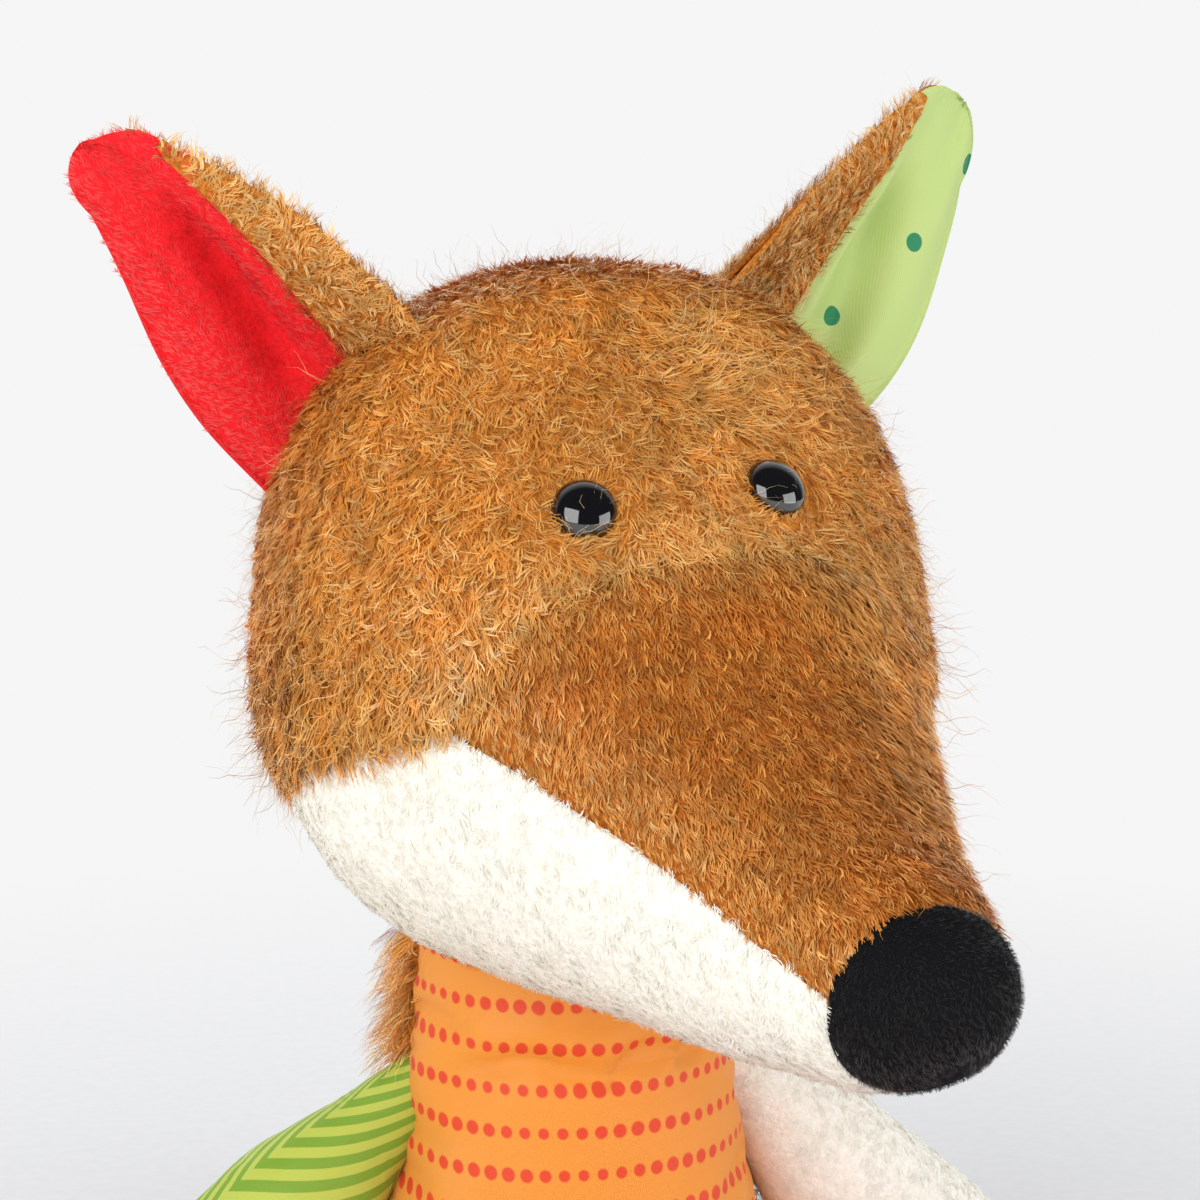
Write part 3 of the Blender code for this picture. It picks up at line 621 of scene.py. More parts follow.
class Wardrobe:
    """Every finish of the fox, each made once."""

    def __init__(self) -> None:
        """Make the materials."""
        fibres = [
            FibreFinish("brown undercoat", (0.64, 0.206, 0.021), (0.83, 0.308, 0.037),
                        (0.88, 0.365, 0.052), low=0.86, high=1.10, patch=0.14,
                        clump=0.26, pale=(0.95, 0.52, 0.14), edge=0.88),
            FibreFinish("brown locks", (0.77, 0.275, 0.031), (0.95, 0.435, 0.070),
                        (0.97, 0.560, 0.150), low=0.74, high=1.12, roughness=0.32,
                        clump=0.16, pale=(0.97, 0.63, 0.23), shine=0.8, soften=0.55,
                        edge=0.8),
            FibreFinish("brown hairs", (0.84, 0.400, 0.075), (0.93, 0.540, 0.155),
                        (0.95, 0.640, 0.250), roughness=0.4, patch=0.05, shine=0.4,
                        edge=0.9),
            FibreFinish("muzzle undercoat", (0.44, 0.115, 0.009), (0.58, 0.170, 0.016),
                        (0.69, 0.228, 0.026), low=0.86, high=1.10, patch=0.14,
                        clump=0.26, pale=(0.86, 0.40, 0.085), edge=0.88),
            FibreFinish("muzzle locks", (0.56, 0.160, 0.014), (0.76, 0.275, 0.034),
                        (0.92, 0.450, 0.092), low=0.70, high=1.14, roughness=0.30,
                        clump=0.16, pale=(0.94, 0.54, 0.16), shine=0.8, soften=0.6,
                        edge=0.84),
            FibreFinish("muzzle hairs", (0.58, 0.190, 0.024), (0.70, 0.270, 0.042),
                        (0.76, 0.330, 0.070), roughness=0.4, patch=0.05, shine=0.3,
                        edge=0.9),
            FibreFinish("brown flyaways", (0.85, 0.45, 0.13), (0.92, 0.58, 0.24),
                        (0.94, 0.70, 0.40), patch=0.05, edge=0.9),
            FibreFinish("sherpa curls", (0.935, 0.89, 0.77), (0.955, 0.92, 0.82),
                        (0.965, 0.95, 0.885), low=0.98, high=1.01, roughness=0.95,
                        patch=0.01, shine=0.05, soften=0.95, edge=1.0),
            # The red pile's pale colour is painted light where the ear's lining is lit.
            FibreFinish("red pile", (0.86, 0.011, 0.018), (0.95, 0.020, 0.029),
                        (0.98, 0.034, 0.044), low=0.94, high=1.03, roughness=0.8,
                        patch=0.05, pale=(1.0, 0.120, 0.115), shine=0.1, soften=0.95,
                        edge=0.94, sheen=0.3),
            FibreFinish("nose pile", (0.010, 0.0085, 0.008), (0.017, 0.0145, 0.014),
                        (0.024, 0.021, 0.020), low=0.9, high=1.1, roughness=0.7,
                        sheen=0.35, shine=0.15, soften=0.95, edge=1.0),
        ]
        backings = [
            # The brown and muzzle backings are mottled down to 55% in painted shade, so the gaps
            # in their pile read as deep.
            BackingFinish("brown backing", (0.70, 0.235, 0.030), shade=0.55),
            BackingFinish("muzzle backing", (0.50, 0.135, 0.015), shade=0.55),
            BackingFinish("sherpa backing", (0.95, 0.92, 0.83)),
            BackingFinish("red backing", (0.90, 0.018, 0.024)),
            BackingFinish("nose backing", (0.006, 0.006, 0.007)),
            BackingFinish("stuffing fibre", (0.85, 0.85, 0.83), stitches=400),
            BackingFinish("pellet cloth", (0.75, 0.72, 0.66)),
            BackingFinish("washer plastic", (0.8, 0.8, 0.78), depth=0.00005),
        ]
        satins = [
            SatinFinish("orange satin", (0.86, 0.290, 0.012), (0.78, 0.062, 0.014),
                        Print.DOTS, dot=0.118, blur=0.03),
            SatinFinish("green satin", (0.52, 0.665, 0.205), (0.012, 0.25, 0.10),
                        Print.DOTS, pitch=2.6, rows=1.87, dot=0.19),
            SatinFinish("striped satin", (0.50, 0.58, 0.060), (0.215, 0.39, 0.028),
                        Print.STRIPES, pitch=3.77, rows=0.54),
        ]
        gloss = [GlossFinish("eye plastic", (0.004, 0.004, 0.005))]
        self.materials = {finish.name: finish.build()
                          for finish in [*fibres, *backings, *satins, *gloss]}

    def __getitem__(self, name: str) -> bpy.types.Material:
        """The material of a finish."""
        return self.materials[name]


@dataclass(frozen=True)
class Lock:
    """A tuft of fibres, as it would grow from flat cloth and lie along X."""

    name: str
    strands: int
    steps: int
    length: float
    width: float
    spread: float
    rise: tuple[float, float]
    hook: float
    gather: float = 0.6
    roll: float = 28
    wave: float = 0
    kinds: int = 5

    def strand(self, dice: random.Random, hook: float, points: list, faces: list,
               along: list) -> None:
        """Add one fibre as a tapering ribbon."""
        turn = dice.uniform(0, 2 * math.pi)
        reach = self.spread * math.sqrt(dice.random())
        root = Vector((math.cos(turn), math.sin(turn), 0)) * reach
        place = Vector((0, 0, 0))
        step = self.length * dice.uniform(0.82, 1.1) / self.steps
        tilt = dice.uniform(-9, 9)
        swing = dice.uniform(-14, 14)
        roll = math.radians(dice.uniform(-self.roll, self.roll))
        phase = dice.uniform(0, 2 * math.pi)
        first = len(points)
        for number in range(self.steps + 1):
            part = number / self.steps
            pitch = math.radians(self.rise[0] + (self.rise[1] - self.rise[0]) * part + tilt)
            wave = self.wave * math.sin(9 * part + phase)
            yaw = math.radians(hook * part + swing + wave)
            ahead = Vector((math.cos(pitch) * math.cos(yaw), math.cos(pitch) * math.sin(yaw),
                            math.sin(pitch)))
            flat = ahead.cross(UP).normalized()
            lift = flat.cross(ahead)
            side = flat * math.cos(roll) + lift * math.sin(roll)
            half = self.width / 2 * (1 - 0.75 * part**1.6) * (0.5 + 0.5 * ease(part / 0.35))
            centre = place + root * (1 - self.gather * part)
            points.append(centre - side * half)
            points.append(centre + side * half)
            along.extend((part, part))
            place = place + ahead * step
        for number in range(self.steps):
            corner = first + number * 2
            faces.append((corner, corner + 2, corner + 3, corner + 1))

    def collection(self) -> bpy.types.Collection:
        """A collection of a few kinds of this lock, which isn't in the scene."""
        shelf = bpy.data.collections.new(self.name)
        dice = random.Random(self.name)
        for kind in range(self.kinds):
            points: list[Vector] = []
            faces: list[tuple[int, ...]] = []
            along: list[float] = []
            hook = self.hook * (1 - 2 * kind / max(1, self.kinds - 1))
            for _ in range(self.strands):
                self.strand(dice, hook, points, faces, along)
            mesh = bpy.data.meshes.new(f"{self.name}_{kind}")
            mesh.from_pydata(points, [], faces)
            mesh.shade_smooth()
            store(mesh, "along", along)
            store(mesh, "across", (-1, 1) * (len(points) // 2))
            shelf.objects.link(bpy.data.objects.new(mesh.name, mesh))
        return shelf


@dataclass(frozen=True)
class Pile:
    """How a fabric's locks stand on it."""

    lock: Lock
    finish: str
    spacing: float
    scales: tuple[float, float] = (0.75, 1.2)
    yaw: float = 40
    tilt: float = 12
    ruffle: float = 0.0006
    ruffle_size: float = 0.006


class PileTree(Graph):
    """The geometry nodes that spread locks over a skin."""

    def __init__(self) -> None:
        """Build the tree once, with a named input for each size."""
        super().__init__(bpy.data.node_groups.new("Pile", "GeometryNodeTree"))
        self.shelves: dict[str, bpy.types.Collection] = {}
        sizes = ("Spacing", "Smallest", "Largest", "Yaw", "Tilt", "Ruffle", "Ruffle Size")
        kinds = {"Geometry": "Geometry", "Locks": "Collection",
                 **dict.fromkeys(sizes, "Float"), "Seed": "Int", "Material": "Material"}
        face = self.tree.interface
        for name, kind in kinds.items():
            face.new_socket(name, in_out="INPUT", socket_type=f"NodeSocket{kind}")
        face.new_socket("Geometry", in_out="OUTPUT", socket_type="NodeSocketGeometry")
        self.given = self.node("NodeGroupInput").outputs
        self.build()

    def stored(self, name: str, kind: str) -> bpy.types.NodeSocket:
        """An attribute of the skin or the locks."""
        found = self.node("GeometryNodeInputNamedAttribute", {"Name": name}, data_type=kind)
        return found.outputs["Attribute"]

    def chance(self, low: object, high: object, offset: int) -> bpy.types.NodeSocket:
        """A random number at each point, with its own seed."""
        seed = self.math("ADD", self.given["Seed"], float(offset))
        found = self.node("FunctionNodeRandomValue", {2: low, 3: high, 8: seed},
                          data_type="FLOAT")
        return found.outputs[1]

    def either_way(self, angle: bpy.types.NodeSocket, offset: int) -> bpy.types.NodeSocket:
        """A random angle at each point, up to a given one to either side."""
        return self.chance(self.math("MULTIPLY", angle, -1.0), angle, offset)

    def turned(self, rotation: object, axis: Row, angle: object) -> bpy.types.NodeSocket:
        """A rotation turned further about one of its own axes."""
        by = self.node("FunctionNodeAxisAngleToRotation", {"Axis": axis, "Angle": angle})
        done = self.node("FunctionNodeRotateRotation",
                         {"Rotation": rotation, "Rotate By": by.outputs[0]},
                         rotation_space="LOCAL")
        return done.outputs[0]

    def build(self) -> None:
        """Spread the points, stand the locks on them, ruffle and realize them."""
        given = self.given
        facing = self.node("GeometryNodeStoreNamedAttribute", {
            "Geometry": given["Geometry"],
            "Name": "skin",
            "Value": self.node("GeometryNodeInputNormal").outputs[0],
        }, data_type="FLOAT_VECTOR", domain="POINT")
        spread = self.node("GeometryNodeDistributePointsOnFaces", {
            "Mesh": facing.outputs[0],
            "Distance Min": given["Spacing"],
            "Density Max": self.math("DIVIDE", 3.0,
                                     self.math("POWER", given["Spacing"], 2.0)),
            "Density Factor": self.stored("cover", "FLOAT"),
            "Seed": given["Seed"],
        }, distribute_method="POISSON")
        stand = self.node("FunctionNodeAxesToRotation", {
            "Primary Axis": spread.outputs["Normal"],
            "Secondary Axis": self.stored("comb", "FLOAT_VECTOR"),
        }, primary_axis="Z", secondary_axis="X").outputs[0]
        stand = self.turned(stand, (0, 0, 1), self.either_way(given["Yaw"], 1))
        stand = self.turned(stand, (0, 1, 0), self.either_way(given["Tilt"], 2))
        size = self.math("MULTIPLY", self.chance(given["Smallest"], given["Largest"], 3),
                         self.stored("length", "FLOAT"))
        pick = self.node("FunctionNodeRandomValue", {4: 0, 5: 1000, 8: given["Seed"]},
                         data_type="INT").outputs[2]
        locks = self.node("GeometryNodeCollectionInfo", {
            "Collection": given["Locks"], "Separate Children": True, "Reset Children": True})
        stood = self.node("GeometryNodeInstanceOnPoints", {
            "Points": spread.outputs["Points"],
            "Instance": locks.outputs[0],
            "Pick Instance": True,
            "Instance Index": pick,
            "Rotation": stand,
            "Scale": size,
        })
        toned = self.node("GeometryNodeStoreNamedAttribute", {
            "Geometry": stood.outputs[0],
            "Name": "tone",
            "Value": self.chance(0.0, 1.0, 4),
        }, data_type="FLOAT", domain="INSTANCE")
        real = self.node("GeometryNodeRealizeInstances", {"Geometry": toned.outputs[0]})
        ruffled = self.node("GeometryNodeSetPosition", {
            "Geometry": real.outputs[0], "Offset": self.ruffle()})
        done = self.node("GeometryNodeSetMaterial", {
            "Geometry": ruffled.outputs[0], "Material": given["Material"]})
        self.node("NodeGroupOutput", {0: done.outputs[0]})

    def ruffle(self) -> bpy.types.NodeSocket:
        """An uneven shift of the fibres that grows towards their tips."""
        place = self.node("GeometryNodeInputPosition").outputs[0]
        scale = self.math("DIVIDE", 1.0, self.given["Ruffle Size"])
        cloud = self.node("ShaderNodeTexNoise", {"Vector": place, "Scale": scale, "Detail": 2.0})
        centred = self.node("ShaderNodeVectorMath", {
            0: cloud.outputs["Color"], 1: (0.5, 0.5, 0.5)}, operation="SUBTRACT").outputs[0]
        much = self.math("MULTIPLY", self.stored("along", "FLOAT"), self.given["Ruffle"])
        much = self.math("MULTIPLY", much, 4.0)
        return self.node("ShaderNodeVectorMath", {0: centred, "Scale": much},
                         operation="SCALE").outputs[0]

    def shelf(self, lock: Lock) -> bpy.types.Collection:
        """The lock's collection, made once."""
        if lock.name not in self.shelves:
            self.shelves[lock.name] = lock.collection()
        return self.shelves[lock.name]

    def grow(self, name: str, skin: bpy.types.Object, pile: Pile,
             material: bpy.types.Material, seed: int) -> bpy.types.Object:
        """Grow a pile on a skin.

        Args:
            name: The new piece's name.
            skin: An open skin with the attributes cover, length and comb.
            pile: How the locks stand.
            material: Their material.
            seed: Seed of everything random.

        Returns:
            A plain mesh object at the origin.
        """
        grower = add_object(f"{name}_grower", skin.data)
        modifier = grower.modifiers.new("Pile", "NODES")
        modifier.node_group = self.tree
        values = {
            "Locks": self.shelf(pile.lock), "Spacing": pile.spacing,
            "Smallest": pile.scales[0], "Largest": pile.scales[1],
            "Yaw": math.radians(pile.yaw), "Tilt": math.radians(pile.tilt),
            "Ruffle": pile.ruffle, "Ruffle Size": pile.ruffle_size, "Seed": seed,
            "Material": material,
        }
        for socket in self.tree.interface.items_tree:
            if socket.in_out == "INPUT" and socket.name in values:
                modifier[socket.identifier] = values[socket.name]
        graph = bpy.context.evaluated_depsgraph_get()
        mesh = bpy.data.meshes.new_from_object(grower.evaluated_get(graph))
        mesh.name = name
        bpy.data.objects.remove(grower)
        return add_object(name, mesh)

    def clear(self) -> None:
        """Remove the kinds of lock, which the finished piles don't need."""
        for shelf in self.shelves.values():
            for item in list(shelf.objects):
                bpy.data.objects.remove(item)
            bpy.data.collections.remove(shelf)
        self.shelves.clear()


UNDERCOAT = Lock("undercoat_tuft", strands=8, steps=2, length=0.0034, width=0.00020,
                 spread=0.0012, rise=(28, 0), hook=70, gather=0.1, roll=18)
COMMA = Lock("comma_lock", strands=4, steps=4, length=0.0033, width=0.00026,
             spread=0.00034, rise=(42, -26), hook=120, gather=0.7, roll=18)
SHORT_UNDERCOAT = Lock("short_undercoat_tuft", strands=7, steps=2, length=0.0025,
                       width=0.00023, spread=0.0010, rise=(22, 0), hook=35, gather=0.1,
                       roll=14)
SHORT_COMMA = Lock("short_comma_lock", strands=4, steps=3, length=0.0027, width=0.00025,
                   spread=0.00030, rise=(26, -20), hook=44, gather=0.6, roll=12)
FLANK_LOCK = Lock("flank_lock", strands=7, steps=3, length=0.0088, width=0.00017,
                  spread=0.0016, rise=(66, 8), hook=55, gather=0.2, roll=18)
LONG_HAIR = Lock("long_hair", strands=3, steps=6, length=0.0080, width=0.00007,
                 spread=0.0014, rise=(32, -4), hook=70, gather=0.0, wave=26, kinds=8)
FLYAWAY = Lock("flyaway", strands=1, steps=6, length=0.0090, width=0.00007,
               spread=0.0, rise=(58, 12), hook=80, wave=28, kinds=8)
SHORT_HAIR = Lock("short_hair", strands=1, steps=4, length=0.0050, width=0.00007,
                  spread=0.0, rise=(28, -4), hook=36, wave=8, kinds=8)
SHERPA = Lock("sherpa_curl", strands=8, steps=2, length=0.0015, width=0.00022,
              spread=0.0009, rise=(15, -10), hook=95, gather=0.2, roll=6)
PLUSH = Lock("plush_tuft", strands=9, steps=2, length=0.0011, width=0.00012,
             spread=0.0006, rise=(34, 8), hook=18, gather=0.1, roll=6)
VELVET = Lock("velvet_tuft", strands=5, steps=1, length=0.0007, width=0.00016,
              spread=0.0004, rise=(44, 40), hook=0, gather=0.0, roll=10)

BROWN_COAT = (
    Pile(UNDERCOAT, "brown undercoat", 0.00112, yaw=50, ruffle=0.0006, ruffle_size=0.0045),
    Pile(COMMA, "brown locks", 0.00150, yaw=60, ruffle=0.0006, ruffle_size=0.0045),
    Pile(LONG_HAIR, "brown hairs", 0.0025, scales=(0.6, 1.2), yaw=60, ruffle=0.0009),
)
COARSE_COAT = (
    Pile(UNDERCOAT, "brown undercoat", 0.00165, scales=(1.2, 1.7), yaw=55, ruffle=0.0006),
    Pile(COMMA, "brown locks", 0.0022, scales=(1.1, 1.6), yaw=65, ruffle=0.0006),
    Pile(LONG_HAIR, "brown hairs", 0.0040, scales=(0.6, 1.2), yaw=70, ruffle=0.0009),
)
FLANK_COAT = (
    Pile(FLANK_LOCK, "brown undercoat", 0.00120, scales=(0.7, 1.15), yaw=24, ruffle=0.0004),
    Pile(FLANK_LOCK, "brown hairs", 0.0020, scales=(0.8, 1.2), yaw=24, ruffle=0.0009),
)
EAR_COAT = (
    Pile(UNDERCOAT, "brown undercoat", 0.00110, scales=(0.9, 1.2), yaw=50, ruffle=0.0006,
         ruffle_size=0.0045),
    Pile(COMMA, "brown locks", 0.0015, yaw=60, ruffle=0.0006, ruffle_size=0.0045),
    Pile(LONG_HAIR, "brown hairs", 0.0024, scales=(0.5, 0.9), yaw=60, ruffle=0.0009),
)
MUZZLE_COAT = (
    Pile(SHORT_UNDERCOAT, "muzzle undercoat", 0.00096, yaw=26, ruffle=0.0004,
         ruffle_size=0.0045),
    Pile(SHORT_COMMA, "muzzle locks", 0.0015, yaw=24, tilt=8, ruffle=0.0004,
         ruffle_size=0.0045),
    Pile(SHORT_HAIR, "muzzle hairs", 0.0024, scales=(0.6, 1.1), yaw=40, ruffle=0.0006),
)
FLYAWAYS = Pile(FLYAWAY, "brown flyaways", 0.0021, scales=(0.5, 1.15), yaw=120, tilt=25,
                ruffle=0.0013, ruffle_size=0.008)
MUZZLE_FLYAWAYS = Pile(FLYAWAY, "muzzle hairs", 0.0032, scales=(0.4, 0.9), yaw=90, tilt=20,
                       ruffle=0.0010, ruffle_size=0.008)
SHERPA_COAT = (Pile(SHERPA, "sherpa curls", 0.00108, scales=(0.7, 1.2), yaw=180, tilt=12,
                    ruffle=0.0004),)
RED_COAT = (Pile(PLUSH, "red pile", 0.00092, scales=(0.9, 1.25), yaw=36, ruffle=0.0002,
                 ruffle_size=0.003),)
RED_LEG_COAT = (Pile(PLUSH, "red pile", 0.00135, scales=(1.3, 1.7), yaw=40, ruffle=0.0002,
                     ruffle_size=0.003),)
NOSE_COAT = (Pile(VELVET, "nose pile", 0.0006, scales=(0.8, 1.2), yaw=60, ruffle=0.00005),)


@dataclass
class Tailor:
    """What every sub-assembly needs to dress its pieces."""

    wardrobe: Wardrobe
    tree: PileTree
    seed: int = 7
    pieces: list[str] = field(default_factory=list)

    def place(self, item: bpy.types.Object, body: str, slot: str,
              replaced: Sequence[str] = (), blend: Sequence | None = None) -> bpy.types.Object:
        """Hang a finished piece on its body, or, where it is given a blend, bake its place and
        leave it unattached.

        Args:
            item: The piece, as a plain mesh at the origin.
            body: The body that it rides on.
            slot: The record's material slot; not used.
            replaced: The nodes that it stands for.
            blend: Parent body, start and end of the joint that the piece spans; when given, the
                piece's transform is baked and it is not attached to a body.

        Returns:
            The piece.
        """
        if blend:
            parent, start, end = blend
            tuple(start)
            tuple(end)
            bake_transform(item)
        else:
            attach(item, body)
        if replaced:
            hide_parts(*replaced)
        self.pieces.append(item.name)
        LOG.info("%s on %s: %d faces", item.name, body, len(item.data.polygons))
        return item

    def grow(self, name: str, skin: bpy.types.Object, coat: Sequence[Pile], body: str,
             slot: str, cover: Field | None = None,
             blend: Sequence | None = None) -> None:
        """Grow a coat on a skin and place each of its piles.

        Args:
            name: The coat's name.
            skin: The skin that it stands on, before it has a wall.
            coat: How the locks of each pile stand.
            body: The body that it rides on.
            slot: The record's material slot.
            cover: How thickly it grows at a place, from 0 to 1, where that isn't even.
            blend: As for place.
        """
        twin = skin.copy()
        twin.data = skin.data.copy()
        if cover:
            mesh = twin.data
            layer = mesh.attributes["cover"].data
            old = np.zeros(len(mesh.vertices), np.float32)
            layer.foreach_get("value", old)
            share = np.array([cover(vertex.co) for vertex in mesh.vertices], np.float32)
            layer.foreach_set("value", old * share)
        for number, pile in enumerate(coat):
            self.seed += 1
            item = self.tree.grow(f"{name}_{number + 1}", twin, pile,
                                  self.wardrobe[pile.finish], self.seed)
            self.place(item, body, slot, blend=blend)
        spare = twin.data
        bpy.data.objects.remove(twin)
        bpy.data.meshes.remove(spare)


@dataclass
class Head:
    """The head: six panels over their stuffing, the eyes and the neck."""

    tailor: Tailor
    pivot_height: float = 0.098
    turn: float = 12
    above_pivot: float = 0.059
    forward: float = 0.009
    half_width: float = 0.054
    up: float = 0.061
    down: float = 0.050
    back: float = 0.052
    snout_reach: float = 0.1125
    snout_drop: float = 0.045
    snout_tilt: float = 18
    roundness: float = 0.85
    segments: int = 144
    rings: int = 120
    peak: tuple[float, float] = (0.035, -0.015)
    bridge: tuple[float, float] = (0.042, 0.0095)
    lip: tuple[float, float] = (0.094, -0.041)
    nape: tuple[float, float] = (-0.024, -0.036)
    nose_forward: float = 0.097
    nose_seam_tilt: float = 7
    eye_place: float = 0.442
    left_eye_angle: float = 74.5
    right_eye_angle: float = 68.5
    eye_radius: float = 0.0050
    eye_height: float = 0.0040
    rows: tuple[Row, ...] = (
        (-1.0, 0.22, 0.0, 0.0, 0.0, 0.0),
        (-0.87, 0.20, 0.0, 0.50, 0.475, 0.58),
        (-0.5, 0.22, 0.0, 0.87, 0.87, 0.92),
        (0.0, 0.27, 0.0, 1.0, 1.0, 1.0),
        (0.16, 0.36, 0.0, 0.95, 0.85, 0.92),
        (0.302, 0.56, 0.2, 0.80, 0.665, 0.74),
        (0.462, 0.75, 0.4, 0.62, 0.48, 0.565),
        (0.622, 0.89, 0.7, 0.46, 0.36, 0.44),
        (0.773, 0.97, 0.9, 0.335, 0.28, 0.34),
        (0.889, 1.0, 1.0, 0.252, 0.222, 0.27),
        (0.96, 1.0, 1.0, 0.165, 0.14, 0.17),
        (1.0, 1.0, 1.0, 0.0, 0.0, 0.0),
    )

    def __post_init__(self) -> None:
        """Work out the head's own frame, its eyes, and where its pile is swept up."""
        lift = Matrix.Translation((0, 0, self.pivot_height))
        self.place = lift @ Matrix.Rotation(math.radians(self.turn), 4, "Z")
        self.unplace = self.place.inverted()
        self.eye_spots = [self.eye_frame(side).translation for side in Side]
        self.sweep_spot = self.place @ self.point(0.37, math.radians(80))

    def point(self, place: float, angle: float) -> Vector:
        """Point of the head's surface, from the neck's pivot."""
        reach, drop, tilt, width, up, down = read_shares(self.rows, place, 3)
        forward = reach * (self.snout_reach if reach > 0 else self.back)
        power = 1 - (1 - self.roundness) * width
        side = signed_power(math.cos(angle), power)
        rise = signed_power(math.sin(angle), power)
        rise *= self.up * up if rise > 0 else self.down * down
        lean = math.radians(self.snout_tilt) * tilt
        return Vector((
            self.half_width * width * side,
            -self.forward - forward - rise * math.sin(lean),
            self.above_pivot - self.snout_drop * drop + rise * math.cos(lean),
        ))

    def normal(self, place: float, angle: float) -> Vector:
        """Outward normal of the head's surface."""
        step = math.radians(1)
        along = self.point(place + step / math.pi, angle)
        along -= self.point(place - step / math.pi, angle)
        around = self.point(place, angle + step) - self.point(place, angle - step)
        return around.cross(along).normalized()

    def side_seam(self, first: tuple[float, float], second: tuple[float, float]) -> Seam:
        """Seam across the head through two points of its side view, each forward and up."""
        base = Vector((0, -self.forward - first[0], self.above_pivot + first[1]))
        run = Vector((0, first[0] - second[0], second[1] - first[1]))
        return Seam(base, SIDE_AXIS.cross(run).normalized())

    def seams(self) -> dict[str, Seam]:
        """The planes at which the panels meet; normals point up or forward."""
        tilt = math.radians(self.nose_seam_tilt)
        tip = Vector((0, -self.forward - self.nose_forward,
                      self.above_pivot - self.snout_drop))
        return {
            "middle": Seam(Vector((0, 0, 0)), SIDE_AXIS),
            "brow": self.side_seam(self.peak, self.bridge),
            "lip": self.side_seam(self.lip, self.peak),
            "nape": self.side_seam(self.peak, self.nape),
            "nose": Seam(tip, Vector((0, -math.cos(tilt), -math.sin(tilt)))),
        }

    def eye_frame(self, side: Side) -> Matrix:
        """Where an eye sits, in the row frame, its Z pointing out of the head."""
        degrees = self.left_eye_angle if side is Side.LEFT else 180 - self.right_eye_angle
        angle = math.radians(degrees)
        turn = facing(self.normal(self.eye_place, angle))
        return self.place @ Matrix.Translation(self.point(self.eye_place, angle)) @ turn

    def eye_gap(self, place: Vector) -> float:
        """How far a place is from the middle of the nearer eye."""
        return min((place - spot).length for spot in self.eye_spots)

    def swept(self, place: Vector, reach: float = 0.020) -> float:
        """How much the pile is swept up at a place, from 0 to 1."""
        return 1 - ease((place - self.sweep_spot).length / reach)

    def lie(self, place: Vector, normal: Vector) -> Vector:
        """The way that the head's pile lies: out from the crown, and in over the eyes."""
        centre = self.place @ Vector((0, 0.012, self.above_pivot + self.up * 1.1))
        away = (place - centre).normalized() + Vector((0, -0.25, -0.35))
        eye = min(self.eye_spots, key=lambda spot: (place - spot).length)
        near = (eye - place).length
        pull = 1 - ease((near - self.eye_radius) / (self.eye_radius * 0.8))
        away = away.lerp(Vector((0.9, -0.2, 0.42)), self.swept(place, 0.024) * 0.85)
        if near > 1e-6:
            away = away.lerp((eye - place).normalized() * 1.4, pull * 0.8)
        return away

    def bare_round_eyes(self, place: Vector) -> float:
        """Cover of the pile: none under the eyes, full elsewhere."""
        return ease((self.eye_gap(place) - self.eye_radius * 0.84) / (self.eye_radius * 0.10))

    def far_side(self, place: Vector) -> float:
        """How far a place is out on the head's left flank, from 0 to 1."""
        return ease(((self.unplace @ place).x - 0.004) / 0.020)

    def pale_on_crown(self, seam: Seam) -> Field:
        """Where the crown's pile is brushed up and paler: along a seam and between the eyes."""
        middle = (self.eye_spots[0] + self.eye_spots[1]) / 2

        def paleness(place: Vector) -> float:
            local = self.unplace @ place
            edge = 1 - ease(abs(seam.height(local)) / 0.010)
            between = 1 - ease((place - middle).length / 0.022)
            streak = 0.5 + 0.5 * noise.noise(Vector((place.x, place.y, place.z * 0.4)) / 0.007)
            far = ease((local.x - 0.018) / 0.030)
            return clamp(0.55 * edge + 0.45 * between * streak
                         + 0.5 * self.swept(place) * streak + 0.4 * far * streak)

        return paleness

    def pale_on_muzzle(self, seams: dict[str, Seam]) -> Field:
        """Where the muzzle's pile is paler: along its seams, and on its left flank, where the
        paleness is painted light.
        """
        def paleness(place: Vector) -> float:
            local = self.unplace @ place
            streak = 0.6 + 0.4 * noise.noise(place / 0.006)
            lip = 1 - ease(abs(seams["lip"].height(local)) / 0.013)
            brow = 1 - ease(abs(seams["brow"].height(local)) / 0.009)
            # painted light: the left flank is made paler by the far_side share
            return clamp(0.8 * lip + 0.6 * brow + streak * self.far_side(place))

        return paleness

    def length_on(self, kind: str, seams: dict[str, Seam]) -> Field:
        """Length of a panel's pile: shorter by the eyes and lip, longer where swept up."""
        def length(place: Vector) -> float:
            local = self.unplace @ place
            beyond = (self.eye_gap(place) - self.eye_radius) / (self.eye_radius * 0.8)
            share = (0.92 + 0.08 * ease(beyond)) * (1 + 0.35 * self.swept(place))
            if kind == "muzzle":
                near_lip = 1 - ease(abs(seams["lip"].height(local)) / 0.007)
                share *= (1 - 0.5 * near_lip) * (1 + 0.8 * self.far_side(place))
            elif kind == "crown":
                top = ease((local.z - self.above_pivot - self.up * 0.70) / (self.up * 0.30))
                low = ease((self.above_pivot - local.z) / 0.018)
                share *= (1 - 0.35 * top) * (1 + 0.40 * low)
            return share

        return length

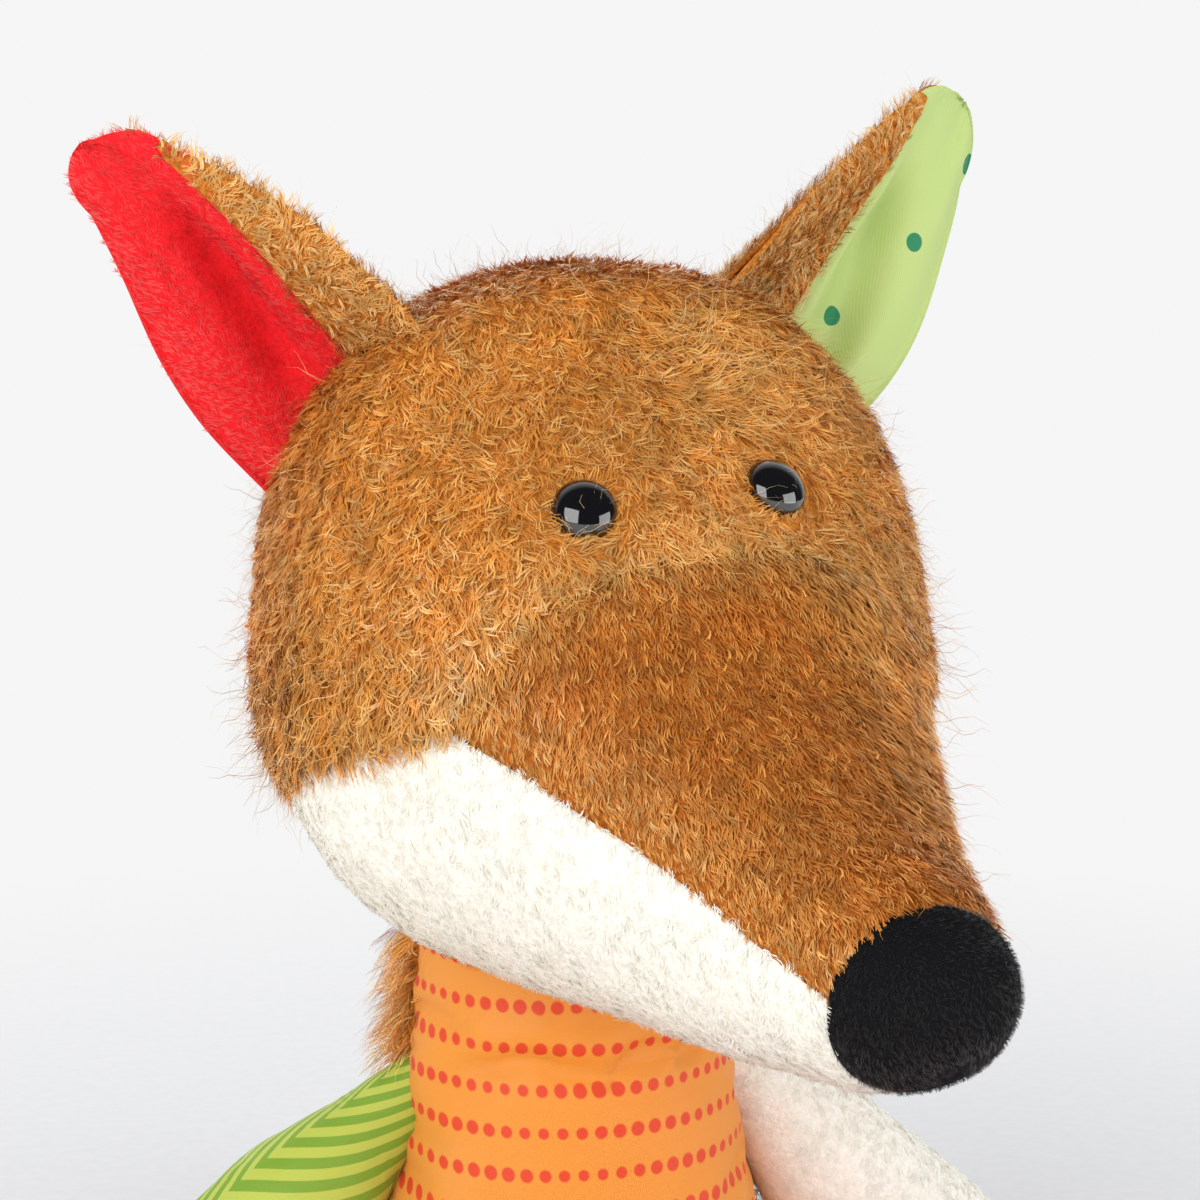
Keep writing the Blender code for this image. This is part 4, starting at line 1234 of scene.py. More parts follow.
    def make_panels(self) -> None:
        """The six panels and what grows on them."""
        seams = self.seams()
        top = [("brow", -1), ("nape", 1)]
        front = [("brow", 1), ("lip", 1), ("nose", -1)]
        panels = {
            "crown_left": ("brown backing", [*top, ("middle", 1)]),
            "crown_right": ("brown backing", [*top, ("middle", -1)]),
            "muzzle_left": ("muzzle backing", [*front, ("middle", 1)]),
            "muzzle_right": ("muzzle backing", [*front, ("middle", -1)]),
            "chin": ("sherpa backing", [("lip", -1), ("nape", -1), ("nose", -1)]),
            "nose": ("nose backing", [("nose", 1)]),
        }
        whole = Form(self.point, self.segments, self.rings)
        whole.lump(0.0009, 0.028, 3.1)
        depths = {"crown": 0.0008, "muzzle": 0.0010, "chin": 0.0009, "nose": 0.0010}
        pale_and_light_fields = {"crown": {"pale": self.pale_on_crown(seams["brow"])},
                 "muzzle": {"pale": self.pale_on_muzzle(seams)}}
        for name, (finish, names) in panels.items():
            kind, _, word = name.partition("_")
            tail = f"_{word}" if word else ""
            form = whole.copy()
            cuts = [(seams[seam], sign) for seam, sign in names]
            form.keep(cuts)
            form.tuck([cut for cut, (seam, _) in zip(cuts, names) if seam != "middle"],
                      depths[kind], 0.0022)
            form.turn(self.place)
            skin = form.become(f"{kind}_skin{tail}", self.tailor.wardrobe[finish])
            furnish(skin, self.lie, cover=self.bare_round_eyes,
                    length=self.length_on(kind, seams), **pale_and_light_fields.get(kind, {}))
            self.dress(kind, tail, skin)
        whole.mesh.free()

    def dress(self, kind: str, tail: str, skin: bpy.types.Object) -> None:
        """Grow a panel's pile, give the skin its wall, and place both."""
        grow = self.tailor.grow
        slots = {"crown": "brown_plush", "muzzle": "muzzle_plush", "chin": "cream_sherpa",
                 "nose": "black_velvet"}
        slot = slots[kind]
        if kind == "crown":
            grow(f"crown_fur{tail}", skin, BROWN_COAT, "head", slot)
            grow(f"crown_flyaways{tail}", skin, (FLYAWAYS,), "head", slot)
        elif kind == "muzzle":
            grow(f"muzzle_fur{tail}", skin, MUZZLE_COAT, "head", slot)
            grow(f"muzzle_flyaways{tail}", skin, (MUZZLE_FLYAWAYS,), "head", slot)
        elif kind == "chin":
            grow("chin_curls_left", skin, SHERPA_COAT, "head", slot,
                 lambda place: float(place.x > -place.y * 0.21))
            grow("chin_curls_right", skin, SHERPA_COAT, "head", slot,
                 lambda place: float(place.x <= -place.y * 0.21))
        else:
            grow("nose_velvet", skin, NOSE_COAT, "head", slot)
        thicken(skin, CLOTH_WALL)
        self.tailor.place(skin, "head", slot, [f"{kind}_cover{tail}"])

    def make_eyes(self) -> None:
        """Two domed eyes, each turned from a fine profile."""
        for side in Side:
            profile = []
            rows = 24
            for row in range(rows + 1):
                turn = math.pi / 2 * row / rows
                height = 0.0002 + (self.eye_height - 0.0006) * math.cos(turn)
                profile.append((self.eye_radius * math.sin(turn), height))
            profile.append((self.eye_radius * 0.985, -0.0004))
            profile.append((self.eye_radius * 0.93, -0.0008))
            profile.append((0.0, -0.0012))

            def point_at(place: float, angle: float) -> Vector:
                row = place * (len(profile) - 1)
                radius, height = profile[round(row)]
                return Vector((radius * math.cos(angle), radius * math.sin(angle), height))

            form = Form(point_at, 64, len(profile) - 1)
            form.turn(self.eye_frame(side))
            eye = form.become(f"eye_dome_{side.word}", self.tailor.wardrobe["eye plastic"])
            self.tailor.place(eye, "head", "eye_plastic", [f"eye_{side.word}"])

    def make(self) -> None:
        """Dress the head."""
        self.make_panels()
        self.make_eyes()


@dataclass
class Neck:
    """The plush that closes the neck between torso and head."""

    tailor: Tailor
    height: float = 0.098
    radius: float = 0.0235

    def make(self) -> None:
        """A round of short brown plush in place of the plug."""
        def point_at(place: float, angle: float) -> Vector:
            turn = math.pi * place
            flat = self.radius * math.sin(turn)
            return Vector((flat * math.cos(angle), flat * math.sin(angle),
                           self.height + self.radius * math.cos(turn)))

        form = Form(point_at, 72, 48)
        skin = form.become("neck_plush", self.tailor.wardrobe["brown backing"])
        self.tailor.place(skin, "neck", "stuffing", ["neck_stuffing"])


@dataclass
class Ear:
    """An ear: a furry back, and a lining set into its cup."""

    tailor: Tailor
    head: Head
    side: Side
    lining: str
    lining_slot: str
    length: float
    angle: float
    lean: float
    turn_out: float
    half_width: float = 0.0165
    hem_start: float = 0.3
    bulge: float = 0.0
    inner_bulge: float = 0.0
    bulge_power: float = 1.1
    print_shift: tuple[float, float] = (0.0, 0.0)
    sink: float = 0.009
    cup: float = 62
    tip_cup: float = 0.45
    curl: float = 0.45
    place_share: float = 0.209
    root: float = 0.13
    columns: int = 44
    steps: int = 64
    width_rows: tuple[Row, ...] = ((1.0,), (1.0,), (0.97,), (0.88,), (0.72,), (0.52,), (0.2,))

    def __post_init__(self) -> None:
        """Work out the ear's own frame."""
        sign = self.side.value
        angle = math.radians(self.angle)
        if self.side is Side.RIGHT:
            angle = math.pi - angle
        lean_out = Matrix.Rotation(math.radians(self.lean * sign), 4, "Y")
        turn_out = Matrix.Rotation(math.radians(self.turn_out * sign), 4, "Z")
        turn = lean_out @ turn_out
        sunk = turn @ Vector((0, 0, -self.sink))
        spot = self.head.point(self.place_share, angle) + sunk
        self.place = self.head.place @ Matrix.Translation(spot) @ turn

    def width(self, up: float) -> float:
        """Half the ear's width at a height, round at its tip."""
        round_from = 0.86
        share = read_shares(self.width_rows, clamp(up, 0, round_from), 1)[0]
        if up > round_from:
            share *= math.sqrt(max(0.0, 1 - ((up - round_from) / (1 - round_from)) ** 2))
        return self.half_width * share

    def point(self, across: float, up: float, forward: float) -> Vector:
        """Point of the ear's sheet, in the row frame.

        Args:
            across: Place from the outer edge, -1, to the inner edge, 1.
            up: Place from base to tip; below 0 it is inside the head.
            forward: How far the sheet is moved out of the cup's back.
        """
        inner = -self.side.value
        half_width = max(self.width(up), 0.0001)
        half_cup = math.radians(self.cup) * (1 - (1 - self.tip_cup) * clamp(up))
        turn = half_cup * across
        if across > 0:
            turn *= 1 + self.curl * across
        radius = half_width / math.sin(half_cup)
        height = self.length * up
        ripple = 0.0006 * noise.noise(Vector((across * 2.1, up * 4.2, inner)))
        deep = radius - forward - ripple
        side = deep * math.sin(turn) * inner
        swell = self.bulge if across < 0 else self.inner_bulge
        side *= 1 + swell * math.sin(math.pi * clamp(up) ** self.bulge_power)
        flat = Vector((side, -radius + deep * math.cos(turn), height))
        return self.place @ flat

    def hem(self, up: float) -> float:
        """Where the fur that folds over the inner edge ends on the lining."""
        rise = clamp(up / 0.92) ** 1.5
        return self.hem_start + (0.985 - self.hem_start) * rise

    def fold(self, across: float, up: float) -> tuple[float, float]:
        """How far into the lining's groove a place is, and how far up the ridge beside it."""
        hem = self.hem(up)
        reach = math.exp(-(((clamp(up) - 0.47) / 0.27) ** 4))
        groove = reach * math.exp(-(((across - hem + 0.50) / 0.24) ** 2))
        ridge = reach * math.exp(-(((across - hem + 0.16) / 0.13) ** 2))
        return groove, ridge

    def relief(self, across: float, up: float) -> float:
        """How far the lining stands off the back, with a groove and a ridge at its fold."""
        flat = clamp(up)
        groove, ridge = self.fold(across, up)
        edge = 1 - min(1.0, abs(across)) ** 7
        fade = 1 - flat**6
        wrap = 0.0011 * ease((-0.86 - across) / 0.18) * (1 - flat**8)
        raised = 0.0044 * (1 - groove) + 0.0014 * ridge
        return 0.0006 * edge + fade * edge * raised - wrap

    def across_at(self, flat: Vector) -> float:
        """Place across the sheet of a point in the ear's own frame."""
        up = flat.z / self.length
        half_cup = math.radians(self.cup) * (1 - (1 - self.tip_cup) * clamp(up))
        radius = max(self.width(up), 0.0001) / math.sin(half_cup)
        turn = math.atan2(flat.x * -self.side.value, flat.y + radius) / half_cup
        if turn > 0:
            turn = (math.sqrt(1 + 4 * self.curl * turn) - 1) / (2 * self.curl)
        return turn

    def brushed(self, flat: Vector) -> float:
        """How pale the lining's pile is: painted light on its outer part and on the ridge,
        painted shade in the groove.
        """
        across = self.across_at(flat)
        groove, ridge = self.fold(across, flat.z / self.length)
        # painted light outside and on the ridge, painted shade in the groove
        outside = ease((-across - 0.1) / 0.8)
        return clamp(0.32 + 0.5 * outside + 0.4 * ridge - 0.9 * groove)

    def sheet(self, name: str, material: bpy.types.Material, low: Callable[[float], float],
              high: Callable[[float], float],
              relief: Callable[[float, float, float], float],
              top: float = 1.0) -> bpy.types.Object:
        """An open sheet over part of the ear.

        Args:
            name: The piece's name.
            material: Its material.
            low: Its outer edge at a height, from -1 to 1 across the ear.
            high: Its inner edge at a height.
            relief: How far it stands off the ear's back, from its place across the ear,
                the height, and the place across the sheet from -1 to 1.
            top: How high it reaches.
        """
        form = bmesh.new()
        grid = []
        for row in range(self.steps + 1):
            up = -self.root + (top + self.root) * (1 - (1 - row / self.steps) ** 1.35)
            line = []
            for column in range(self.columns + 1):
                part = math.sin(math.pi / 2 * (2 * column / self.columns - 1))
                across = low(up) + (high(up) - low(up)) * (part + 1) / 2
                off = relief(across, up, part)
                line.append(form.verts.new(self.point(across, up, off)))
            grid.append(line)
        for below, above in zip(grid, grid[1:]):
            for column in range(self.columns):
                corners = [below[column], below[column + 1], above[column + 1], above[column]]
                form.faces.new(corners if self.side is Side.RIGHT else corners[::-1])
        form.normal_update()
        return Form.of(form).become(name, material)

    def make(self) -> None:
        """Make the back with its fur, the lining, and the fur folded over the inner edge."""
        body = f"ear_{self.side.word}"
        wardrobe = self.tailor.wardrobe
        axis = self.place.to_3x3() @ UP
        spread = SIDE_AXIS * -self.side.value
        base = self.place.translation + axis * self.sink
        blend = ("head", base - axis * 0.001, base + axis * 0.012)
        centre = self.place.inverted()

        def shorter_up(most: float) -> Field:
            return lambda place: most - 0.3 * clamp((centre @ place).z / self.length)

        def off_outer_edge(place: Vector) -> float:
            flat = centre @ place
            out = flat.x * self.side.value
            return ease((self.width(flat.z / self.length) * 0.93 - out) / 0.004)

        def even(place: Vector) -> float:
            return 1.0

        back = self.sheet(f"{body}_back", wardrobe["brown backing"],
                          lambda up: -0.88, lambda up: 0.88,
                          lambda across, up, part: -0.0012, top=0.965)
        back.data.flip_normals()
        # The ear's fur is set nearly all pale: partly its paler colour, partly painted light on
        # fur that lies in shade.
        furnish(back, lambda place, normal: axis + spread * 0.35, cover=off_outer_edge,
                length=shorter_up(0.9), pale=lambda place: 0.95)
        self.tailor.grow(f"{body}_fur_pile", back, EAR_COAT, body, "brown_plush",
                         blend=blend)
        self.tailor.grow(f"{body}_flyaways", back, (FLYAWAYS,), body, "brown_plush",
                         blend=blend)
        thicken(back, EAR_WALL)
        self.tailor.place(back, body, "brown_plush", [f"{body}_fur"], blend)

        rim = self.sheet(
            f"{body}_rim", wardrobe["brown backing"], self.hem, lambda up: 1.0,
            lambda across, up, part: self.relief(across, up) + 0.0009 * (1 - part**8) - 0.0003,
            top=0.9)
        # Nearly all pale as on the back: partly paler fur, partly painted light.
        furnish(rim, lambda place, normal: axis * 0.7 + spread, cover=even,
                length=shorter_up(0.95), pale=lambda place: 0.95)
        self.tailor.grow(f"{body}_rim_pile", rim, EAR_COAT, body, "brown_plush",
                         blend=blend)
        thicken(rim, EAR_WALL)
        self.tailor.place(rim, body, "brown_plush", (), blend)

        front = self.sheet(f"{body}_cloth", wardrobe[self.lining], lambda up: -1.04,
                           lambda up: min(1.0, self.hem(up) + 0.12),
                           lambda across, up, part: self.relief(across, up))
        write_uv(front, lambda place: self.lay(centre @ place))
        if self.lining == "red backing":
            furnish(front, lambda place, normal:
                    axis - spread * 0.6 * ease(-self.across_at(centre @ place) - 0.3),
                    cover=even, length=even, pale=lambda place: self.brushed(centre @ place))
            self.tailor.grow(f"{body}_lining_pile", front, RED_COAT, body,
                             self.lining_slot, blend=blend)
        thicken(front, LINING_WALL)
        self.tailor.place(front, body, self.lining_slot, [f"{body}_lining"], blend)

    def lay(self, flat: Vector) -> tuple[float, float]:
        """Centimetres across and up the lining's flat cloth."""
        across, up = self.print_shift
        return (flat.x * 100 + across, flat.z * 100 + up)


def inflate(item: bpy.types.Object, held: Field, pressure: float, slack: float) -> None:
    """Fill a closed cloth by simulation, so that it pulls and puckers at its seams.

    Args:
        item: A closed mesh; it is simulated at ten times its size.
        held: How firmly each vertex is held, from 0 to 1.
        pressure: Pressure inside.
        slack: Share by which the cloth is longer than the form.
    """
    grown = 10
    mesh = item.data
    rest = np.zeros(len(mesh.vertices) * 3)
    mesh.vertices.foreach_get("co", rest)
    group = item.vertex_groups.new(name="held")
    for vertex in mesh.vertices:
        group.add([vertex.index], clamp(held(vertex.co)), "REPLACE")
    mesh.vertices.foreach_set("co", rest * grown)
    cloth = item.modifiers.new("Filling", "CLOTH")
    settings = cloth.settings
    settings.quality = 6
    settings.mass = 0.3
    settings.vertex_group_mass = "held"
    settings.use_pressure = True
    settings.uniform_pressure_force = pressure
    settings.shrink_min = -slack
    settings.tension_stiffness = 20
    settings.compression_stiffness = 8
    settings.bending_stiffness = 0.2
    settings.effector_weights.gravity = 0
    cloth.point_cache.frame_start = 1
    cloth.point_cache.frame_end = FILLING_FRAMES + 2
    scene = bpy.context.scene
    for number in range(1, FILLING_FRAMES + 1):
        scene.frame_set(number)
    graph = bpy.context.evaluated_depsgraph_get()
    shaped = item.evaluated_get(graph).data
    moved = np.zeros(len(mesh.vertices) * 3)
    shaped.vertices.foreach_get("co", moved)
    item.modifiers.clear()
    item.vertex_groups.clear()
    scene.frame_set(1)
    shift = (moved / grown - rest).reshape(-1, 3)
    length = np.linalg.norm(shift, axis=1, keepdims=True)
    shift *= np.minimum(1, FILLING_SHIFT / np.maximum(length, 1e-9))
    places = rest.reshape(-1, 3) + shift
    places[:, 2] = np.maximum(places[:, 2], 0)
    mesh.vertices.foreach_set("co", places.ravel())
    mesh.update()
    LOG.info("%s moved by up to %.2f mm", item.name, 1000 * float(length.max()))


def reopen(item: bpy.types.Object) -> Form:
    """Take an object's mesh back as a form, and remove the object."""
    mesh = bmesh.new()
    mesh.from_mesh(item.data)
    spare = item.data
    bpy.data.objects.remove(item)
    bpy.data.meshes.remove(spare)
    mesh.normal_update()
    return Form.of(mesh)


@dataclass
class Torso:
    """The torso: a satin belly, a furry back and the seat."""

    tailor: Tailor
    height: float = 0.112
    half_width: float = 0.038
    half_depth: float = 0.036
    floor_cut: float = 0.0005
    seat_seam: float = 0.008
    rim_front: float = 0.026
    rim_tilt: float = 4
    rim_height: float = 0.0945
    rows: tuple[Row, ...] = (
        (0.0, 0.0), (0.0, 0.5), (0.006, 0.7), (0.045, 0.90), (0.13, 0.997), (0.24, 1.0),
        (0.385, 0.90), (0.54, 0.78), (0.70, 0.71), (0.84, 0.675), (0.93, 0.65),
        (0.98, 0.45), (1.0, 0.0),
    )

    def point(self, place: float, angle: float) -> Vector:
        """Point of the torso's surface, cut flat on the floor."""
        height, width = read_shares(self.rows, place, 1)
        return Vector((
            self.half_width * width * math.cos(angle),
            self.half_depth * width * math.sin(angle),
            max(self.height * height - self.floor_cut, 0),
        ))

    def lay(self, place: Vector) -> tuple[float, float]:
        """Centimetres across and up the belly's flat cloth."""
        radius = math.hypot(place.x, place.y)
        turn = math.atan2(place.x, -place.y)
        return (turn * radius * 100, place.z * 100 - 0.07)

    def make(self) -> None:
        """Fill the closed torso, cut it into its panels and dress them."""
        _, box_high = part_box("belly_cover")
        wardrobe = self.tailor.wardrobe
        whole = Form(self.point, 112, 110)
        whole.lump(0.0004, 0.02, 5.3)
        body = whole.become("torso_form", wardrobe["orange satin"])

        def held(place: Vector) -> float:
            side = 1 - ease(abs(place.y) / 0.002)
            ends = max(1 - ease((place.z - 0.006) / 0.006), ease((place.z - 0.085) / 0.008))
            return max(side, ends)

        inflate(body, held, 1.5, 0.04)
        whole = reopen(body)
        tilt = math.radians(self.rim_tilt)
        rim = Seam(Vector((0, -self.rim_front, box_high.z - 0.0004)),
                   Vector((0, -math.sin(tilt), math.cos(tilt))))
        seat = Seam(Vector((0, 0, self.seat_seam)), UP)
        middle = Seam(Vector((0, 0, 0)), BACKWARD)
        panels = {
            "belly": ("orange satin", "orange_satin", [(rim, -1), (seat, 1), (middle, -1)]),
            "back": ("brown backing", "brown_plush", [(rim, -1), (seat, 1), (middle, 1)]),
            "seat": ("brown backing", "brown_plush", [(seat, -1)]),
        }
        for name, (finish, slot, cuts) in panels.items():
            form = whole.copy()
            form.keep(cuts)
            form.tuck([cut for cut in cuts if cut[0] is not rim], 0.0006, 0.0014)
            skin = form.become(f"{name}_skin", wardrobe[finish])
            write_uv(skin, self.lay)
            if name != "belly":
                furnish(skin, lambda place, normal: Vector((0, 0.1, -1)),
                        cover=lambda place: float(place.z > 0.0075),
                        length=lambda place: 0.9)
            if name == "back":
                self.tailor.grow("back_fur", skin, COARSE_COAT, "torso", slot)
                self.tailor.grow("flank_fur", skin, FLANK_COAT, "torso", slot,
                                 lambda place: float(place.y < 0.014 and place.z > 0.076))
                self.tailor.grow("back_flyaways", skin, (FLYAWAYS,), "torso", slot)
            thicken(skin, CLOTH_WALL)
            self.tailor.place(skin, "torso", slot, [f"{name}_cover"])
        whole.mesh.free()


@dataclass
class Limb:
    """A stuffed limb, sewn to the torso at its root."""

    tailor: Tailor
    name: str
    place: Matrix
    finish: str = "brown backing"
    slot: str = "brown_plush"
    blend_reach: float = 0.014
    coat: Sequence[Pile] = ()
    root_reach: float = 0.004
    wall: float = 0.0015
    girth: float = 1.2
    print_shift: float = 0.7

    def __post_init__(self) -> None:
        """Work out the limb's root, the way it points, and where it bends."""
        self.root = self.place.translation
        self.axis = (self.place.to_3x3() @ self.along()).normalized()
        self.blend = ("torso", self.root - self.axis * self.root_reach,
                      self.root + self.axis * self.blend_reach)

    def point(self, place: float, angle: float) -> Vector:
        """Point of the limb's surface, from its joint."""
        raise NotImplementedError

    def along(self) -> Vector:
        """The way the limb points, in its own frame."""
        raise NotImplementedError

    def lumps(self) -> Row:
        """The amount, size and seed of its lumps."""
        return (0.0005, 0.014, 1.7 + len(self.name))

    def lay(self, place: Vector) -> tuple[float, float]:
        """Centimetres across and along the limb's flat cloth."""
        local = self.place.inverted() @ place
        axis = self.along()
        side = axis.cross(BACKWARD if abs(axis.y) < 0.5 else UP)
        turn = math.atan2(local.dot(axis.cross(side)), local.dot(side))
        return (turn * self.girth - self.print_shift, local.dot(axis) * 100)

    def reach(self, place: Vector) -> float:
        """How far along the limb a place is."""
        return (place - self.root).dot(self.axis)

    def held(self, place: Vector) -> float:
        """How firmly the cloth is held: at its root only."""
        return 1 - ease((self.reach(place) - 0.004) / 0.008)

    def outside(self, place: Vector) -> float:
        """Cover of the pile: none inside the torso."""
        return ease((self.reach(place) + 0.001) / 0.002)

    def sack(self, name: str) -> bpy.types.Object:
        """The limb's closed cloth, filled."""
        form = Form(self.point, 64, 88)
        form.lump(*self.lumps())
        form.turn(self.place)
        sack = form.become(name, self.tailor.wardrobe[self.finish])
        inflate(sack, self.held, 1.2, 0.03)
        return sack

    def make(self) -> None:
        """Fill the sack, grow its pile and sew it on."""
        skin = self.sack(f"{self.name}_skin")
        write_uv(skin, self.lay, 2 * math.pi * self.girth)
        if self.coat:
            furnish(skin, lambda place, normal: self.axis, cover=self.outside,
                    length=lambda place: 1.0)
            self.tailor.grow(f"{self.name}_pile", skin, self.coat, self.name, self.slot,
                             blend=self.blend)
        self.fill(skin)
        self.tailor.place(skin, self.name, self.slot, [f"{self.name}_cover"], self.blend)

    def fill(self, skin: bpy.types.Object) -> None:
        """The stuffing, close inside the skin."""
        filling = skin.copy()
        filling.data = skin.data.copy()
        filling.name = filling.data.name = f"{self.name}_filling"
        bpy.context.scene.collection.objects.link(filling)
        for vertex, normal in [(v, v.normal.copy()) for v in filling.data.vertices]:
            vertex.co -= normal * self.wall
        filling.data.materials.clear()
        filling.data.materials.append(self.tailor.wardrobe["stuffing fibre"])
        self.tailor.place(filling, self.name, "stuffing", [f"{self.name}_stuffing"],
                          self.blend)


@dataclass
class Arm(Limb):
    """An arm hanging out from the side seam."""

    side: Side = Side.LEFT
    length: float = 0.078
    half_width: float = 0.0135
    half_depth: float = 0.0115
    pinch: float = 0.55
    spread: float = 46
    rows: tuple[Row, ...] = (
        (-0.13, 0.0), (-0.1, 0.5), (-0.02, 0.8), (0.14, 0.87), (0.36, 0.94), (0.60, 1.0),
        (0.80, 0.93), (0.93, 0.66), (1.0, 0.0),
    )

    def along(self) -> Vector:
        """Down and out."""
        spread = math.radians(self.spread)
        return Vector((self.side.value * math.sin(spread), 0, -math.cos(spread)))

    def point(self, place: float, angle: float) -> Vector:
        """Point of the arm's surface, from its shoulder."""
        reach, size = read_shares(self.rows, place, 1)
        spread = math.radians(self.spread)
        size *= self.pinch + (1 - self.pinch) * ease((reach + 0.05) / 0.40)
        across = self.half_width * size * math.cos(angle)
        reach = self.length * reach
        return Vector((
            self.side.value * (reach * math.sin(spread) + across * math.cos(spread)),
            self.half_depth * size * math.sin(angle),
            across * math.sin(spread) - reach * math.cos(spread),
        ))


@dataclass
class Leg(Limb):
    """A leg lying forward on the floor."""

    length: float = 0.105
    half_width: float = 0.0145
    rise: float = 0.023
    height: float = 0.0145
    floor_cut: float = 0.0005
    rows: tuple[Row, ...] = (
        (-0.138, 0.0, 0.0, 0.0), (-0.12, 0.5, 0.31, 0.5), (-0.07, 0.87, 0.54, 0.87),
        (0.03, 1.0, 0.63, 1.0), (0.30, 0.97, 0.61, 1.0), (0.58, 1.0, 0.65, 1.0),
        (0.78, 1.06, 0.85, 1.0), (0.90, 1.06, 1.0, 1.0), (0.975, 0.72, 0.72, 0.72),
        (1.0, 0.0, 0.0, 0.0),
    )

    def along(self) -> Vector:
        """Forward."""
        return Vector((0, -1, 0))

    def point(self, place: float, angle: float) -> Vector:
        """Point of the leg's surface, from its hip, cut flat on the floor."""
        reach, width, up, down = read_shares(self.rows, place, 1)
        rise = math.sin(angle) * (self.rise * up if math.sin(angle) > 0 else
                                  (self.height + self.floor_cut) * down)
        return Vector((
            self.half_width * width * math.cos(angle),
            -self.length * reach,
            max(rise, -self.height),
        ))


@dataclass
class Tail(Limb):
    """The tail, lying behind on the floor, with its tip in sherpa."""

    length: float = 0.100
    radius: float = 0.017
    height: float = 0.0165
    bend: float = 0.014
    tip_share: float = 0.66
    rows: tuple[Row, ...] = (
        (-0.1, 0.0), (-0.08, 0.3), (-0.02, 0.46), (0.12, 0.58), (0.32, 0.84), (0.52, 1.0),
        (0.72, 0.88), (0.9, 0.48), (0.98, 0.2), (1.0, 0.0),
    )

    def along(self) -> Vector:
        """Backward."""
        return BACKWARD

    def lumps(self) -> Row:
        """The amount, size and seed of its lumps."""
        return (0.0006, 0.016, 9.7)

    def point(self, place: float, angle: float) -> Vector:
        """Point of the tail's surface, from its root, cut flat on the floor."""
        reach, size = read_shares(self.rows, place, 1)
        return Vector((
            self.bend * max(reach, 0) ** 2 + self.radius * size * math.cos(angle),
            self.length * reach,
            max(self.radius * size * math.sin(angle), -self.height),
        ))

    def make(self) -> None:
        """Fill the tail, cut it at its tip's seam and dress both cloths."""
        wardrobe = self.tailor.wardrobe
        whole = reopen(self.sack("tail_form"))
        seam = Seam(self.root + self.axis * self.length * self.tip_share, self.axis)
        for name, sign, finish, slot, coat in (
            ("tail", -1, self.finish, self.slot, COARSE_COAT),
            ("tail_tip", 1, "sherpa backing", "cream_sherpa", SHERPA_COAT),
        ):
            form = whole.copy()
            form.keep([(seam, sign)])
            form.tuck([(seam, sign)], 0.0009, 0.002)
            skin = form.become(f"{name}_skin", wardrobe[finish])
            furnish(skin, lambda place, normal: self.axis, length=lambda place: 0.9,
                    cover=lambda place: self.outside(place) * ease((place.z - 0.0005) / 0.004))
            self.tailor.grow(f"{name}_pile", skin, coat, "tail", slot, blend=self.blend)
            thicken(skin, CLOTH_WALL)
            self.tailor.place(skin, "tail", slot, [f"{name}_cover"], self.blend)
        inner = whole.become("tail_inner", wardrobe["stuffing fibre"])
        self.fill(inner)
        bpy.data.objects.remove(inner)


